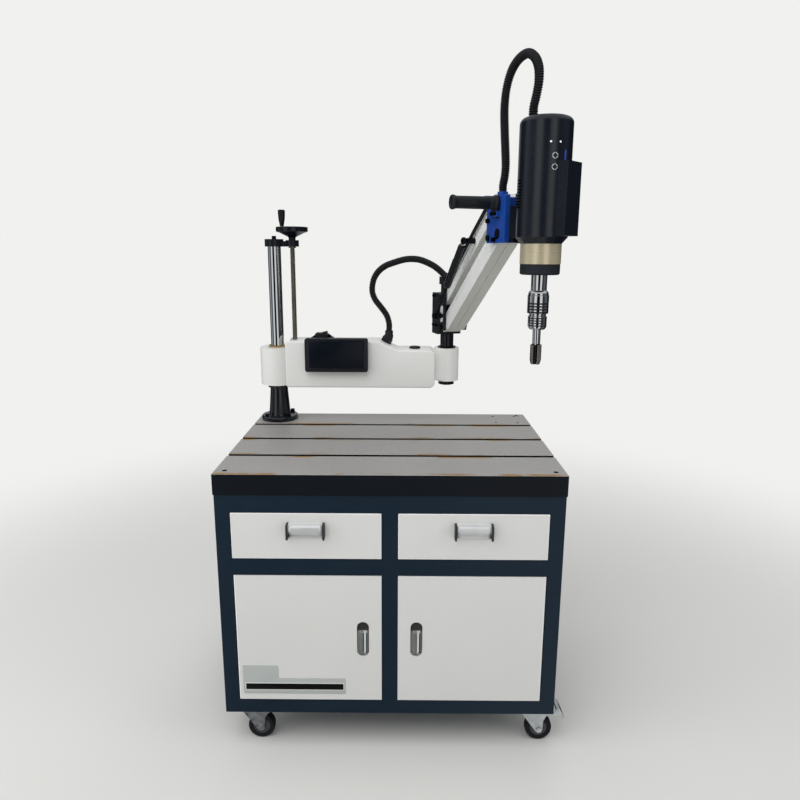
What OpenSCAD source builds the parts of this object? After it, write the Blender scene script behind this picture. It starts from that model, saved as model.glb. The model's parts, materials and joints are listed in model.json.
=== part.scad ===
// Arm tapping machine: a swinging, self-levelling arm with a servo tapping head,
// standing on a drawer-and-cupboard bench on castors.
// Millimetres. +Z is up, -Y is the side the user stands at.
// The origin is on the floor, under the middle of the whole machine.

/* [Bench] */
// Width of the bench top
table_w = 900; // [800:10:1000]
// Depth of the bench top
table_d = 600; // [580:5:700]
// Thickness of the bench top
table_t = 55; // [45:1:70]
// Height of the working surface above the floor
table_h = 800; // [780:5:850]
// Width of a T-slot's mouth
slot_w = 15; // [12:0.5:18]
// Depth of a T-slot's mouth
slot_neck = 13; // [10:0.5:16]
// Width of a T-slot's inner channel
slot_head_w = 25; // [22:0.5:30]
// Height of a T-slot's inner channel
slot_head_h = 10; // [8:0.5:14]
// Distance from the front edge to the first T-slot
slot_first = 152; // [120:1:180]
// Distance from one T-slot to the next
slot_pitch = 155; // [120:1:170]
// Radius of the lifting-eye holes at the corners of the bench top
eye_r = 6.5; // [5:0.5:8]
// Distance of the lifting-eye holes from the sides of the bench top
eye_inset = 26; // [20:1:40]

/* [Cabinet] */
// Thickness of the cabinet's sheet steel
sheet = 2; // [1.5:0.5:3]
// Width of the post between the two bays, as seen from the front
stile_mid = 43; // [35:1:60]
// Width of the posts at the sides, as seen from the front
stile_side = 39.5; // [35:0.5:60]
// Height of the rail over the drawers
rail_top = 49; // [40:1:60]
// Height of the rail between drawers and doors
rail_mid = 48; // [40:1:60]
// Height of the rail under the doors
rail_low = 42; // [35:1:60]
// Height of a drawer front
drawer_h = 125.5; // [100:0.5:150]
// Gap round a drawer front or a door
front_gap = 1.5; // [1:0.25:3]
// Thickness of a door or a drawer front
front_t = 18; // [15:0.5:22]
// Depth of a drawer tray behind its front
tray_d = 480; // [380:10:500]
// Width of a drawer pull
pull_w = 105; // [80:1:140]
// Height of a drawer pull
pull_h = 41; // [30:1:50]
// Radius of a door's hinge pins
hinge_r = 2.5; // [2:0.25:3]
// Width of the latch's oval pocket
latch_w = 32; // [28:1:38]
// Height of the latch's oval pocket
latch_h = 102; // [90:1:120]
// Distance from the bench's middle line to a latch
latch_x = 71; // [65:1:110]

/* [Castors] */
// Height of the castors, floor to cabinet
caster_h = 113; // [108:1:125]
// Radius of the wheels
wheel_r = 37.5; // [34:0.5:38]
// Width of the wheels
wheel_w = 25; // [22:1:30]
// Trail of a swivel wheel behind its king pin
trail = 28; // [20:1:34]
// Distance from the middle line to the castors
caster_x = 390; // [360:1:395]
// Distance of the castors from the front and rear edges
caster_inset = 50; // [45:1:80]

/* [Column] */
// Distance from the left side of the bench top to the column
col_inset = 70; // [65:1:110]
// Distance from the rear side of the bench top to the column
col_rear = 60; // [55:1:100]
// Radius of the chrome column
col_r = 21; // [18:0.5:24]
// Height of the column's top end above the bench top
col_h = 584; // [540:1:650]
// Radius of the column's foot flange
flange_r = 59.5; // [58:0.5:65]
// Spacing of the foot's four screws
foot_pitch = 72; // [70:1:76]
// Distance from the column to the lead screw
screw_off = 58; // [56:0.5:64]
// Outer radius of the lead screw
screw_r = 8; // [7:0.25:9]
// Radius of the handwheel
wheel_rim_r = 50.5; // [45:0.5:60]

/* [Lower arm] */
// Distance from the column to the elbow post
arm_len = 557; // [520:1:600]
// Radius of the boss round the column
boss_r = 56.5; // [52:0.5:60]
// Radius of the boss round the elbow post
elbow_boss_r = 39.5; // [36:0.5:44]
// Height of the lower arm's top face above the bench top
arm_rise = 244; // [240:1:250]
// Radius of the elbow post
post_r = 21.5; // [19:0.25:23]
// Running clearance of the sliding and turning fits, on the radius
run = 0.05; // [0.02:0.01:0.08]
// Width of the display housing
display_w = 201; // [180:1:220]
// Height of the display housing
display_h = 108; // [95:1:115]

/* [Upper arm] */
// Length of the two parallel links, pivot to pivot
link_len = 450; // [420:1:470]
// Height of one link pivot over the other
link_gap = 90; // [86:1:96]
// Angle of the links above level
link_angle = 36.6; // [30:0.1:40]
// Angle of the upper arm, turned from the lower arm
arm_yaw = -74; // [-90:1:-60]
// Width of the lower, main beam
beam_w = 56; // [50:1:60]
// Height of the lower, main beam
beam_h = 50; // [44:1:52]
// Width of the upper link
link_w = 52; // [44:1:56]
// Height of the upper link
link_h = 40; // [34:1:42]
// Radius of the gas spring's cylinder
gas_r = 10.5; // [9:0.5:11]
// Radius of the gas spring's rod
gas_rod_r = 4; // [3:0.25:5]

/* [Head] */
// Distance from the links' upper pivots to the spindle
head_reach = 193.75; // [190:0.25:208]
// Radius of the motor hood
hood_r = 58; // [56:0.5:64]
// Height of the motor hood
hood_h = 268; // [250:1:300]
// Radius of the gear housing under the hood
gear_r = 46; // [42:0.5:50]
// Radius of the spindle
spindle_r = 18.25; // [16:0.25:20]
// Radius of the quick-change collar
collar_r = 24.5; // [23:0.25:26]
// Radius of the tap's shank
shank_r = 9.5; // [8:0.25:10]
// Radius of the tap's thread
tap_r = 14; // [11:0.25:15]

/* [Hoses] */
// Outer radius of the ribbed hoses
hose_r = 10.5; // [9:0.1:11]
// Depth of the groove between two ribs
rib_depth = 1.5; // [1:0.1:2]
// Bore radius of the ribbed hoses
hose_bore = 7.5; // [6:0.1:7.6]
// Radius of the thin conduit on the upper link
conduit_r = 5; // [4.5:0.25:6]

/* [Hidden] */
$fn = 64;
eps = 0.01;

// The frame's origin lies right of and in front of the bench's middle, because the brake
// pedal and the head reach out on those sides.
bench_x = -20;
reach_y = 50;
front_y = reach_y - table_d / 2;

// Cabinet, derived. Heights are from the floor, depths from the bench's front edge.
cab_in = 2;
cab_w = table_w - 2 * cab_in;
cab_d = table_d - 2 * cab_in;
cab_z0 = caster_h;
cab_z1 = table_h - table_t;
front_w = cab_w / 2 - stile_side - stile_mid / 2;
front_x0 = stile_mid / 2;
drawer_z = cab_z1 - rail_top - drawer_h;
door_z = cab_z0 + rail_low;
door_h = drawer_z - rail_mid - door_z;
shelf_z = door_z + door_h + rail_mid / 2;
front_proud = 1;
face_y = cab_in - front_proud;
tray_wall = 1.5;
tray_h = drawer_h - 28;
tray_z = drawer_z + 12;
runner_w = 11;
runner_h = 34;
tray_w = front_w - 2 * runner_w - 4;
runner_z = tray_z + 24;
hinge_in = 5;
hinge_x = front_x0 + front_w - hinge_in;
latch_z = door_z + door_h / 2;
eye_front = 29.5;
eye_rear = 16;
hole_deep = 35;
foot_hole_r = 4.25;
spare_x = table_w / 2 - 73;
spare_y = table_d - 65;

// Castors, derived
plate_t = 4;
race_r = 24;
fork_top = caster_h - plate_t - 10.5;
axle_r = 5;
fork_t = 3;
fork_in = wheel_w / 2 + 2;

// Column and lead screw, derived
col_x = col_inset - table_w / 2;
col_back = table_d - col_rear;
col_top = table_h + col_h;
screw_x = col_x + screw_off;
foot_top = table_h + 96;
stop_top = foot_top + 26;
stop_ring = 13;
arm_low = stop_top + 0.3;
bracket_z = col_top - 18;
bracket_t = 20;
cap_t = 5;
seat_gap = 0.2;
bolt_r = 4;
bush_wall = 5;

// Lower arm, derived
post_x = col_x + arm_len;
post_y = col_back;
arm_top = table_h + arm_rise;
web_z0 = arm_top - 104;
web_z1 = arm_top - 8;
web_half = 38;
elbow_low = arm_top - 108;
cover_front = col_back - 53;
cover_back = col_back + 57;
cover_left = col_x + 33;
cover_right = post_x - 40.5;
cover_z0 = arm_top - 127;
cover_z1 = arm_top + 24;
cover_z2 = arm_top - 4;
cover_slope_a = post_x - 218;
cover_slope_b = post_x - 161.5;
cover_t = 2.5;
display_x = col_x + 100;
display_z = cover_z1 + 13 - display_h;
display_d = 25;
display_corner = 8;
glass_t = 3;
glass_sunk = 0.8;
glass_rim = 14;
glass_top_rim = 9;
glass_corner = 3;
gland_x = post_x - 190;
gland_y = col_back + 7;
gland_r = 14;
plug_x = post_x - 105;
plug_r = 18;
plug_hole = 12;
switch_x = col_x + 112;
switch_y = col_back - 35;
switch_w = 76.5;
switch_top = cover_z1 + 23;

// Upper arm, derived. "a" runs along the arm from the elbow post; the user's left is -Y there.
pivot_a = 45;
pivot_z = arm_top + 73;
pin_r = 6;
plate_in = beam_w / 2 + 2;
plate_out = plate_in + 10;
tongue_r = 16;
top_a = pivot_a + link_len * cos(link_angle);
top_z = pivot_z + link_len * sin(link_angle);
stud_s = 291;
stud_a = pivot_a + stud_s * cos(link_angle);
stud_z = pivot_z + link_gap + stud_s * sin(link_angle);
anchor_a = 62;
anchor_z = pivot_z + 38;
gas_y = 60;
gas_len = norm([stud_a - anchor_a, stud_z - anchor_z]);
gas_angle = atan2(stud_z - anchor_z, stud_a - anchor_a);
gas_body = 164;
bracket_back = -35;
bracket_front = 68;
bracket_base = pivot_z - 27;
bracket_low = pivot_z - 9;
bracket_top = pivot_z + link_gap + 15;

// Head bracket and head, derived
blue_in = plate_in + 2;
blue_out = blue_in + 12;
blue_a0 = top_a - 12;
blue_a1 = top_a + 94;
blue_z0 = top_z - 13;
blue_z1 = top_z + link_gap + 10.2;
blue_corner = 5;
web_a = top_a + 30;
web_low = top_z + 40;
tilt_a = top_a + 53;
tilt_z = top_z + 9;
tilt_r = 8;
tongue_r2 = 22;
tongue_half = blue_in - 0.5;
block_a = tilt_a + 61;
handle_a = top_a + 49;
handle_z = top_z + 82;
handle_r = 8;
grip_r = 15.3;
grip_len = 113;
head_a = top_a + head_reach;
hood_z = top_z - 16.3;
hood_top = hood_z + hood_h;
hood_wall = 3;
chamfer = 14;
gear_h = 45;
nose_h = 24;
neck_h = 36;
chuck_h = 54;
sleeve_h = 35;
shank_h = 34;
thread_h = 48;
gear_z = hood_z - gear_h;
nose_z = gear_z - nose_h;
chuck_z = nose_z - neck_h;
collar_z0 = chuck_z - chuck_h;
sleeve_z = collar_z0 - sleeve_h;
thread_z = sleeve_z - shank_h;
tip_z = thread_z - thread_h;
button_z = [hood_z + 182, hood_z + 159];
button_r = 6;
button_angle = -8;

// Ribbed hoses. Each lies in an upright plane: points are [distance in the plane, height].
// The lower hose and the conduit stand on the lower arm's top face, the upper hose on the
// links' upper pivots.
hose_seat = 0.3;
lower_yaw = -25.1;
lower_route = [[0, 55], [0, 76], [-9, 103], [-30, 129], [-50, 151], [-61, 175], [-61, 199],
    [-54, 223], [-39, 244], [-14, 262], [20, 274], [55, 283], [83, 285], [110, 282], [141, 271],
    [165, 258], [191, 237]];
hose_start_a = handle_a;
hose_start_y = -31;
upper_yaw = 7.8;
upper_route = [[0, 109], [0, 125], [6, 145], [8, 171], [4, 206], [-2, 252], [-6, 297], [-1, 340],
    [17, 375], [45, 394], [80, 398], [108, 383], [124, 359], [127, 331], [121, 305], [113, 283],
    [111.5, 270], [111.5, 258]];
rib_step = 3;
inner_skip = 4;
conduit_step = 10;
hose_sides = 8;
conduit_route = [[78, 224], [95, 224], [115, 232], [140, 249], [200, 296], [275, 353], [340, 399],
    [375, 423], [390, 427]];
conduit_y = 34;
lower_end = lower_route[len(lower_route) - 1];
lower_end_before = lower_route[len(lower_route) - 2];
upper_end = upper_route[len(upper_route) - 1];
gland_top = arm_top + lower_route[0][1] - hose_seat;

module at_bench() translate([bench_x, front_y, 0]) children();
module on_both() for (side = [-1, 1]) on_side(side) children();
module on_side(side) if (side < 0) mirror([1, 0, 0]) children(); else children();
module at_column() at_bench() translate([col_x, col_back, 0]) children();
module at_screw() at_bench() translate([screw_x, col_back, 0]) children();
module at_post() at_bench() translate([post_x, post_y, 0]) children();
module on_arm() at_post() rotate([0, 0, arm_yaw]) children();
module at_head() on_arm() translate([head_a, 0, 0]) children();
// A cylinder across the arm, from y0 to y1
module across(a, z, r, y0, y1)
    translate([a, y1, z]) rotate([90, 0, 0]) cylinder(r = r, h = y1 - y0);
module block(x0, x1, y0, y1, z0, z1)
    translate([x0, y0, z0]) cube([x1 - x0, y1 - y0, z1 - z0]);
// A ring or tube standing on height z0
module ring(r_out, r_in, z0, z1) translate([0, 0, z0]) difference() {
    cylinder(r = r_out, h = z1 - z0);
    translate([0, 0, -1]) cylinder(r = r_in, h = z1 - z0 + 2);
}
// A flat slot with round ends, as an outline, standing upright
module stadium(w, h) union() {
    translate([-w / 2, -(h - w) / 2]) square([w, h - w]);
    for (end = [-1, 1]) translate([0, end * (h - w) / 2]) circle(d = w);
}

// ---------- Bench ----------

module cabinet_shell() color("#2a333b") at_bench() translate([0, cab_in, 0]) {
    bay_y1 = cab_d - sheet;
    difference() {
        block(-cab_w / 2, cab_w / 2, 0, cab_d, cab_z0, cab_z1);
        on_both() {
            block(sheet / 2, cab_w / 2 - sheet, sheet, bay_y1, shelf_z + sheet, cab_z1 - sheet);
            block(sheet / 2, cab_w / 2 - sheet, sheet, bay_y1, cab_z0 + sheet, shelf_z);
            block(front_x0 - front_gap, front_x0 + front_w + front_gap, -1, sheet + 1,
                drawer_z - front_gap, drawer_z + drawer_h + front_gap);
            block(front_x0 - front_gap, front_x0 + front_w + front_gap, -1, sheet + 1,
                door_z - front_gap, door_z + door_h + front_gap);
        }
        // Screw holes in the top sheet
        for (x = [-1, 1], y = [0, 1])
            translate([x * screw_place_x, screw_place_y[y] - cab_in, cab_z1 - sheet - 1])
                cylinder(r = foot_hole_r, h = sheet + 2);
        on_both() hinge_bore(hinge_r + run);
    }
    // Lugs behind the rails that hold the hinge pins
    on_both() for (z = [door_z - front_gap - lug_t, door_z + door_h + front_gap])
        difference() {
            block(hinge_x - 9, hinge_x + 9, sheet - eps, 15, z, z + lug_t);
            hinge_bore(hinge_r + run);
        }
}
lug_t = 3;
// The hinge line of a door, seen from the cabinet's own front face
module hinge_bore(r) translate([hinge_x, hinge_y - cab_in, door_z - 20])
    cylinder(r = r, h = door_h + 40);
hinge_y = face_y + hinge_in;
screw_place_x = cab_w / 2 - 60;
screw_place_y = [90, table_d - 90];

module table_top() color("#5c5c59") at_bench() difference() {
    block(-table_w / 2, table_w / 2, 0, table_d, cab_z1, table_h);
    for (i = [0:2]) translate([0, slot_first + i * slot_pitch, 0]) {
        block(-table_w / 2 - 1, table_w / 2 + 1, -slot_w / 2, slot_w / 2,
            table_h - slot_neck - slot_head_h, table_h + 1);
        block(-table_w / 2 - 1, table_w / 2 + 1, -slot_head_w / 2, slot_head_w / 2,
            table_h - slot_neck - slot_head_h, table_h - slot_neck);
    }
    for (x = [-1, 1], y = [eye_front, table_d - eye_rear])
        translate([x * (table_w / 2 - eye_inset), y, table_h - hole_deep])
            cylinder(r = eye_r, h = hole_deep + 1);
    // The column's screw holes and the spare set on the right
    for (place = [[col_x, col_back], [spare_x, spare_y]], x = [-1, 1], y = [-1, 1])
        translate([place[0] + x * foot_pitch / 2, place[1] + y * foot_pitch / 2,
            table_h - hole_deep]) cylinder(r = foot_hole_r, h = hole_deep + 1);
    for (x = [-1, 1], y = [0, 1])
        translate([x * screw_place_x, screw_place_y[y], cab_z1 - 1])
            cylinder(r = foot_hole_r, h = 21);
}

// A socket-head screw standing on its shank's end, head up
module cap_screw(r, len, head_r, head_h, socket) difference() {
    union() {
        translate([0, 0, -len]) cylinder(r = r, h = len + 1);
        cylinder(r = head_r, h = head_h);
    }
    translate([0, 0, head_h - socket]) cylinder(r = head_r * 0.6, h = socket + 1, $fn = 6);
}

module fixing_screws() color("#2b2d30") {
    for (x = [-1, 1], y = [-1, 1]) at_column()
        translate([x * foot_pitch / 2, y * foot_pitch / 2, table_h + foot_plate_t])
            cap_screw(bolt_r, foot_plate_t + hole_deep - 3, 7, 8, 4);
    for (x = [-1, 1], y = [0, 1]) at_bench()
        translate([x * screw_place_x, screw_place_y[y], cab_z1 - sheet])
            mirror([0, 0, 1]) cap_screw(bolt_r, 18, 7, 8, 4);
    at_column() translate([0, 0, bracket_top_z + seat_gap])
        cap_screw(bolt_r, 30, 7, 10, 5);
}
foot_plate_t = 15;
bracket_top_z = col_top + cap_t;

module drawer_runners() color("#8d9294") at_bench() on_both() {
    inner = front_x0 + front_w / 2 - tray_w / 2 - runner_gap;
    outer = front_x0 + front_w / 2 + tray_w / 2 + runner_gap;
    runner_rail(inner, -1, inner - sheet / 2);
    runner_rail(outer, 1, cab_w / 2 - sheet - outer);
}
runner_gap = 0.3;
runner_from = face_y + front_t + 6;
// A fixed rail beside the tray, on two spacers that reach the wall of its bay
module runner_rail(x, dir, reach) {
    for (y = [runner_from + 40, runner_from + tray_d - 120])
        block(min(x + dir * 9, x + dir * reach), max(x + dir * 9, x + dir * reach), y, y + 60,
            runner_z + 6, runner_z + runner_h - 6);
    difference() {
        block(min(x, x + dir * runner_w), max(x, x + dir * runner_w),
            runner_from, runner_from + tray_d - 40, runner_z, runner_z + runner_h);
        block(min(x - dir, x + dir * 7), max(x - dir, x + dir * 7),
            runner_from - 1, runner_from + tray_d - 39, runner_z + 7, runner_z + runner_h - 7);
    }
}

module drawer() {
    block(front_x0, front_x0 + front_w, face_y, face_y + front_t, drawer_z, drawer_z + drawer_h);
    mid = front_x0 + front_w / 2;
    difference() {
        block(mid - tray_w / 2, mid + tray_w / 2, face_y + front_t - eps,
            face_y + front_t + tray_d, tray_z, tray_z + tray_h);
        block(mid - tray_w / 2 + tray_wall, mid + tray_w / 2 - tray_wall, face_y + front_t + 1,
            face_y + front_t + tray_d - tray_wall, tray_z + tray_wall, tray_z + tray_h + 1);
    }
    // Slide bars on the tray's sides, which run inside the fixed rails
    for (side = [-1, 1]) {
        x = mid + side * tray_w / 2;
        block(min(x - side * eps, x + side * 6.5), max(x - side * eps, x + side * 6.5),
            runner_from + 4, face_y + front_t + tray_d, runner_z + 7.5, runner_z + runner_h - 7.5);
    }
}
module drawer_left() color("#cfcfcb") at_bench() on_side(-1) drawer();
module drawer_right() color("#cfcfcb") at_bench() drawer();

// A bar pull between two end caps, with a finger gap behind the bar
module drawer_pull() {
    mid = front_x0 + front_w / 2;
    z0 = drawer_z + drawer_h / 2 + 18 - pull_h / 2;
    for (side = [-1, 1]) {
        x = mid + side * (pull_w / 2 - 5);
        block(x - 5, x + 5, face_y - pull_d, face_y, z0, z0 + pull_h);
    }
    block(mid - pull_w / 2 + 9, mid + pull_w / 2 - 9, face_y - pull_d + 2,
        face_y - pull_d + 6, z0 + 3, z0 + pull_h - 3);
}
pull_d = 22;
module drawer_pull_left() color("#c9ccce") at_bench() on_side(-1) drawer_pull();
module drawer_pull_right() color("#c9ccce") at_bench() drawer_pull();

// A door: a folded panel with a rounded hinge edge, two pin bores and the latch's case
module door() {
    difference() {
        translate([0, 0, door_z]) linear_extrude(door_h) {
            translate([front_x0, face_y]) square([front_w - hinge_in, front_t]);
            translate([hinge_x, hinge_y]) circle(r = hinge_in);
            translate([hinge_x - eps, hinge_y]) square([hinge_in + eps, front_t - hinge_in]);
        }
        for (z = [door_z - 1, door_z + door_h - 15])
            translate([hinge_x, hinge_y, z]) cylinder(r = hinge_r + run, h = 16);
        latch_oval(latch_w, latch_h, -1, latch_deep);
        across_latch(latch_pin_r + run, latch_w / 2 + 3);
    }
}
latch_deep = 14;
latch_pin_r = 2.5;
latch_pin_z = latch_z - latch_h / 2 + 7.5;
latch_pin_y = 4;
latch_foot = 5;
foot_half = latch_w / 2 - 6.2;
// An upright oval let into the door, or standing in it, from depth y0 to depth y1
module latch_oval(w, h, y0, y1)
    translate([latch_x, face_y + y1, latch_z]) rotate([90, 0, 0])
        linear_extrude(y1 - y0) stadium(w, h);
module across_latch(r, half)
    translate([latch_x - half, face_y + latch_pin_y, latch_pin_z]) rotate([0, 90, 0])
        cylinder(r = r, h = 2 * half);
module door_left() color("#d6d6d3") at_bench() on_side(-1) door();
module door_right() color("#d6d6d3") at_bench() door();

module door_hinge_pins() color("#a9adb0") at_bench() on_both() {
    translate([hinge_x, hinge_y, door_z + door_h - 14]) cylinder(r = hinge_r, h = 14 + 5 + front_gap);
    translate([hinge_x, hinge_y, door_z - front_gap - 5]) cylinder(r = hinge_r, h = 14 + 5 + front_gap);
}

// The chrome swing lever in its pocket, on a cross pin near its lower end
module latch_lever() {
    difference() {
        latch_oval(latch_w - 2, latch_h - 3, 0, 2 * latch_pin_y);
        block(latch_x - latch_w, latch_x + latch_w, face_y - 1, face_y + 2 * latch_pin_y + 1,
            latch_z - latch_h, latch_pin_z + latch_foot);
    }
    // Round its pin the lever narrows to a rounded foot, which turns clear of the pocket's end
    block(latch_x - foot_half, latch_x + foot_half, face_y, face_y + 2 * latch_pin_y,
        latch_pin_z, latch_pin_z + latch_foot + eps);
    across_latch(latch_pin_y, foot_half);
    across_latch(latch_pin_r, latch_w / 2 + 2.5);
}
module latch_lever_left() color("#c8cbcd") at_bench() on_side(-1) latch_lever();
module latch_lever_right() color("#c8cbcd") at_bench() latch_lever();

// ---------- Castors ----------

caster_y = [caster_inset, table_d - caster_inset];

// The side of a fork: wide at the top, narrow at the axle, hollowed round the wheel
module fork_side(off) {
    polygon([[-28, fork_top], [off + 34, fork_top], [off + 34, fork_top - 7], [off + 20, fork_top - 16],
        [off + 11, fork_top - 34], [off + 10, wheel_r], [off - 8, wheel_r - 7]]);
    translate([off, wheel_r]) circle(r = 10);
}
pedal_pin_x = 24;
pedal_pin_z = fork_top - 7;
pedal_pin_r = 2.5;
module fork(off) {
    difference() {
        for (side = [-1, 1]) translate([0, side * (fork_in + fork_t / 2) + fork_t / 2, 0])
            rotate([90, 0, 0]) linear_extrude(fork_t) fork_side(off);
        if (off > 0) across(off + pedal_pin_x, pedal_pin_z, pedal_pin_r + run, -fork_in - 10, fork_in + 10);
    }
    difference() {
        block(-28, off + 34, -fork_in - fork_t, fork_in + fork_t, fork_top - fork_t, fork_top);
        if (off > 0) translate([0, 0, fork_top - 10]) cylinder(r = king_r + run, h = 20);
    }
    // The axle bolt with its head and nut
    across(off, wheel_r, axle_r, -fork_in - fork_t - 1, fork_in + fork_t + 1);
    for (side = [-1, 1]) translate([off, side * (fork_in + fork_t + 2) + 2, wheel_r])
        rotate([90, 0, 0]) cylinder(r = 8, h = 4, $fn = 6);
}
king_r = 6;
module caster_mounts() color("#aeb4b6") at_bench() {
    for (side = [-1, 1]) translate([side * caster_x, caster_y[0], 0]) {
        block(-45, 45, -35, 35, caster_h - plate_t, caster_h);
        translate([0, 0, fork_top + seat_gap]) cylinder(r = race_r, h = caster_h - plate_t - fork_top);
        // The king pin and its nut
        translate([0, 0, fork_top - 10]) cylinder(r = king_r, h = 12);
        translate([0, 0, fork_top - fork_t - 8]) cylinder(r = king_r + 4, h = 8 - seat_gap, $fn = 6);
    }
    for (side = [-1, 1]) translate([side * caster_x, caster_y[1], 0]) {
        block(-45, 45, -35, 35, caster_h - plate_t, caster_h);
        translate([0, 0, fork_top - eps]) cylinder(r = race_r, h = caster_h - plate_t - fork_top + 1);
        fork(0);
    }
}
module caster_fork_left() color("#b4babc") at_bench()
    translate([-caster_x, caster_y[0], 0]) fork(trail);
module caster_fork_right() color("#b4babc") at_bench()
    translate([caster_x, caster_y[0], 0]) fork(trail);

// A wheel: tyre with rounded shoulders and a hub with a running bore
module wheel() rotate([90, 0, 0]) rotate_extrude() polygon([
    [axle_r + run, -wheel_w / 2 - 1.5], [12, -wheel_w / 2 - 1.5], [14, -wheel_w / 2 + 3],
    [24, -wheel_w / 2 + 3], [26, -wheel_w / 2], [wheel_r - 5, -wheel_w / 2],
    [wheel_r - 1.5, -wheel_w / 2 + 2.5], [wheel_r, -wheel_w / 2 + 8], [wheel_r, wheel_w / 2 - 8],
    [wheel_r - 1.5, wheel_w / 2 - 2.5], [wheel_r - 5, wheel_w / 2], [26, wheel_w / 2],
    [24, wheel_w / 2 - 3], [14, wheel_w / 2 - 3], [12, wheel_w / 2 + 1.5],
    [axle_r + run, wheel_w / 2 + 1.5]]);
module wheel_at(x, y) at_bench() translate([x, y, wheel_r]) wheel();
module wheel_front_left() color("#17181a") wheel_at(-caster_x + trail, caster_y[0]);
module wheel_front_right() color("#17181a") wheel_at(caster_x + trail, caster_y[0]);
module wheel_rear_left() color("#17181a") wheel_at(-caster_x, caster_y[1]);
module wheel_rear_right() color("#17181a") wheel_at(caster_x, caster_y[1]);

// The brake pedal: two cheeks outside the fork on a cross pin, with a bent tread between them
pedal_half = fork_in + fork_t + 0.5;
module brake_pedal() color("#b9bfc1") at_bench() translate([caster_x + trail, caster_y[0], fork_top]) {
    for (side = [-1, 1]) translate([0, side * (pedal_half + 1) + 1, 0]) rotate([90, 0, 0])
        linear_extrude(2) polygon([[18, -2], [30, -2], [40, -5], [46, 8], [54, 9], [68, -18],
            [64, -22], [50, -14], [28, -13], [18, -11]]);
    translate([0, pedal_half + 1, 0]) rotate([90, 0, 0]) linear_extrude(2 * pedal_half + 2)
        polygon([[46, 8], [54, 9], [68, -18], [64, -22], [50, -14], [51, -11.5], [63.5, -18.5],
            [51.5, 6]]);
    translate([0, 0, -fork_top])
        across(pedal_pin_x, pedal_pin_z, pedal_pin_r, -pedal_half - 3, pedal_half + 3);
}

// ---------- Column ----------

module column_base() color("#272d34") at_column() difference() {
    rotate_extrude($fn = 96) polygon([[0, table_h], [flange_r, table_h],
        [flange_r, table_h + foot_plate_t - 3], [flange_r - 3, table_h + foot_plate_t],
        [col_r + 15, table_h + foot_plate_t], [col_r + 14, table_h + foot_plate_t + 4],
        [col_r + 8, foot_top], [col_r + 8, stop_top - stop_ring],
        [col_r + 14, stop_top - stop_ring + 1], [col_r + 14, stop_top - 1],
        [col_r + 13, stop_top], [0, stop_top]]);
    translate([0, 0, table_h + 10]) cylinder(r = col_r, h = stop_top);
    for (x = [-1, 1], y = [-1, 1])
        translate([x * foot_pitch / 2, y * foot_pitch / 2, table_h - 1])
            cylinder(r = foot_hole_r, h = foot_plate_t + 2);
}
module column_tube() color("#c4c9cc") at_column() difference() {
    translate([0, 0, table_h + 10]) cylinder(r = col_r, h = col_top - table_h - 10);
    translate([0, 0, col_top - 40]) cylinder(r = bolt_r, h = 41);
}

// The bracket that turns on the column's top and carries the lead screw
module top_bracket() color("#262c33") at_column() difference() {
    union() {
        translate([0, 0, bracket_z]) cylinder(r = col_r + 8.5, h = bracket_top_z - bracket_z);
        translate([screw_off, 0, bracket_z]) cylinder(r = col_r, h = bracket_t);
        block(0, screw_off, -14, 14, bracket_z, bracket_z + bracket_t - 3);
    }
    translate([0, 0, bracket_z - 1]) cylinder(r = col_r + run, h = col_top + seat_gap - bracket_z + 1);
    translate([0, 0, col_top - 1]) cylinder(r = bolt_r + 0.3, h = cap_t + 2);
    translate([screw_off, 0, bracket_z - 10]) cylinder(r = screw_r + run, h = 60);
}

// The screw: a trapezoidal thread drawn as fine grooves, with plain ends
thread_pitch = 4;
screw_low = stop_top + 12;
screw_high = bracket_z - 4;
module lead_screw() color("#9da2a4") at_screw() union() {
    rotate_extrude() polygon(concat([[0, screw_low], [screw_r - 1, screw_low]],
        [for (z = [screw_low + 1:thread_pitch:screw_high - thread_pitch], c = thread_form)
            [screw_r - c[0], z + c[1] * thread_pitch]],
        [[screw_r, screw_high], [screw_r, hub_z + hub_h], [0, hub_z + hub_h]]));
    // The thrust collar under the bracket
    ring(12, screw_r - 1, bracket_z - 3.8, bracket_z - 0.2);
}
thread_form = [[0, 0], [0, 0.4], [0.9, 0.5], [0.9, 0.9]];

hub_z = bracket_z + bracket_t + seat_gap;
hub_h = 28;
rim_z = hub_z + 31.8;
module handwheel() color("#20262c") at_screw() {
    ring(13, screw_r + run, hub_z, hub_z + hub_h);
    // The dished web and the rim with its rounded edge
    rotate_extrude($fn = 96) polygon([[12, hub_z + 10], [wheel_rim_r - 9, rim_z - 7],
        [wheel_rim_r - 3, rim_z - 8], [wheel_rim_r, rim_z - 4], [wheel_rim_r, rim_z + 5],
        [wheel_rim_r - 3, rim_z + 9], [wheel_rim_r - 8, rim_z + 9], [wheel_rim_r - 11, rim_z + 5],
        [wheel_rim_r - 12, rim_z + 1], [12, hub_z + 18]]);
    // The fixed stud that the crank grip turns on
    translate([-crank_off, 0, rim_z - 10]) cylinder(r = 5, h = 61);
}
crank_off = wheel_rim_r - 19;
grip_z = rim_z + 12;
module crank_handle() color("#15181b") at_screw() translate([-crank_off, 0, 0]) difference() {
    rotate_extrude() polygon([[0, grip_z], [6.5, grip_z], [7.5, grip_z + 7], [9.5, grip_z + 18],
        [10.8, grip_z + 32], [11.2, grip_z + 45], [10.2, grip_z + 49], [8.5, grip_z + 50], [0, grip_z + 50]]);
    translate([0, 0, grip_z - 1]) cylinder(r = 5 + run, h = 41);
}

// ---------- Lower arm ----------

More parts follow.
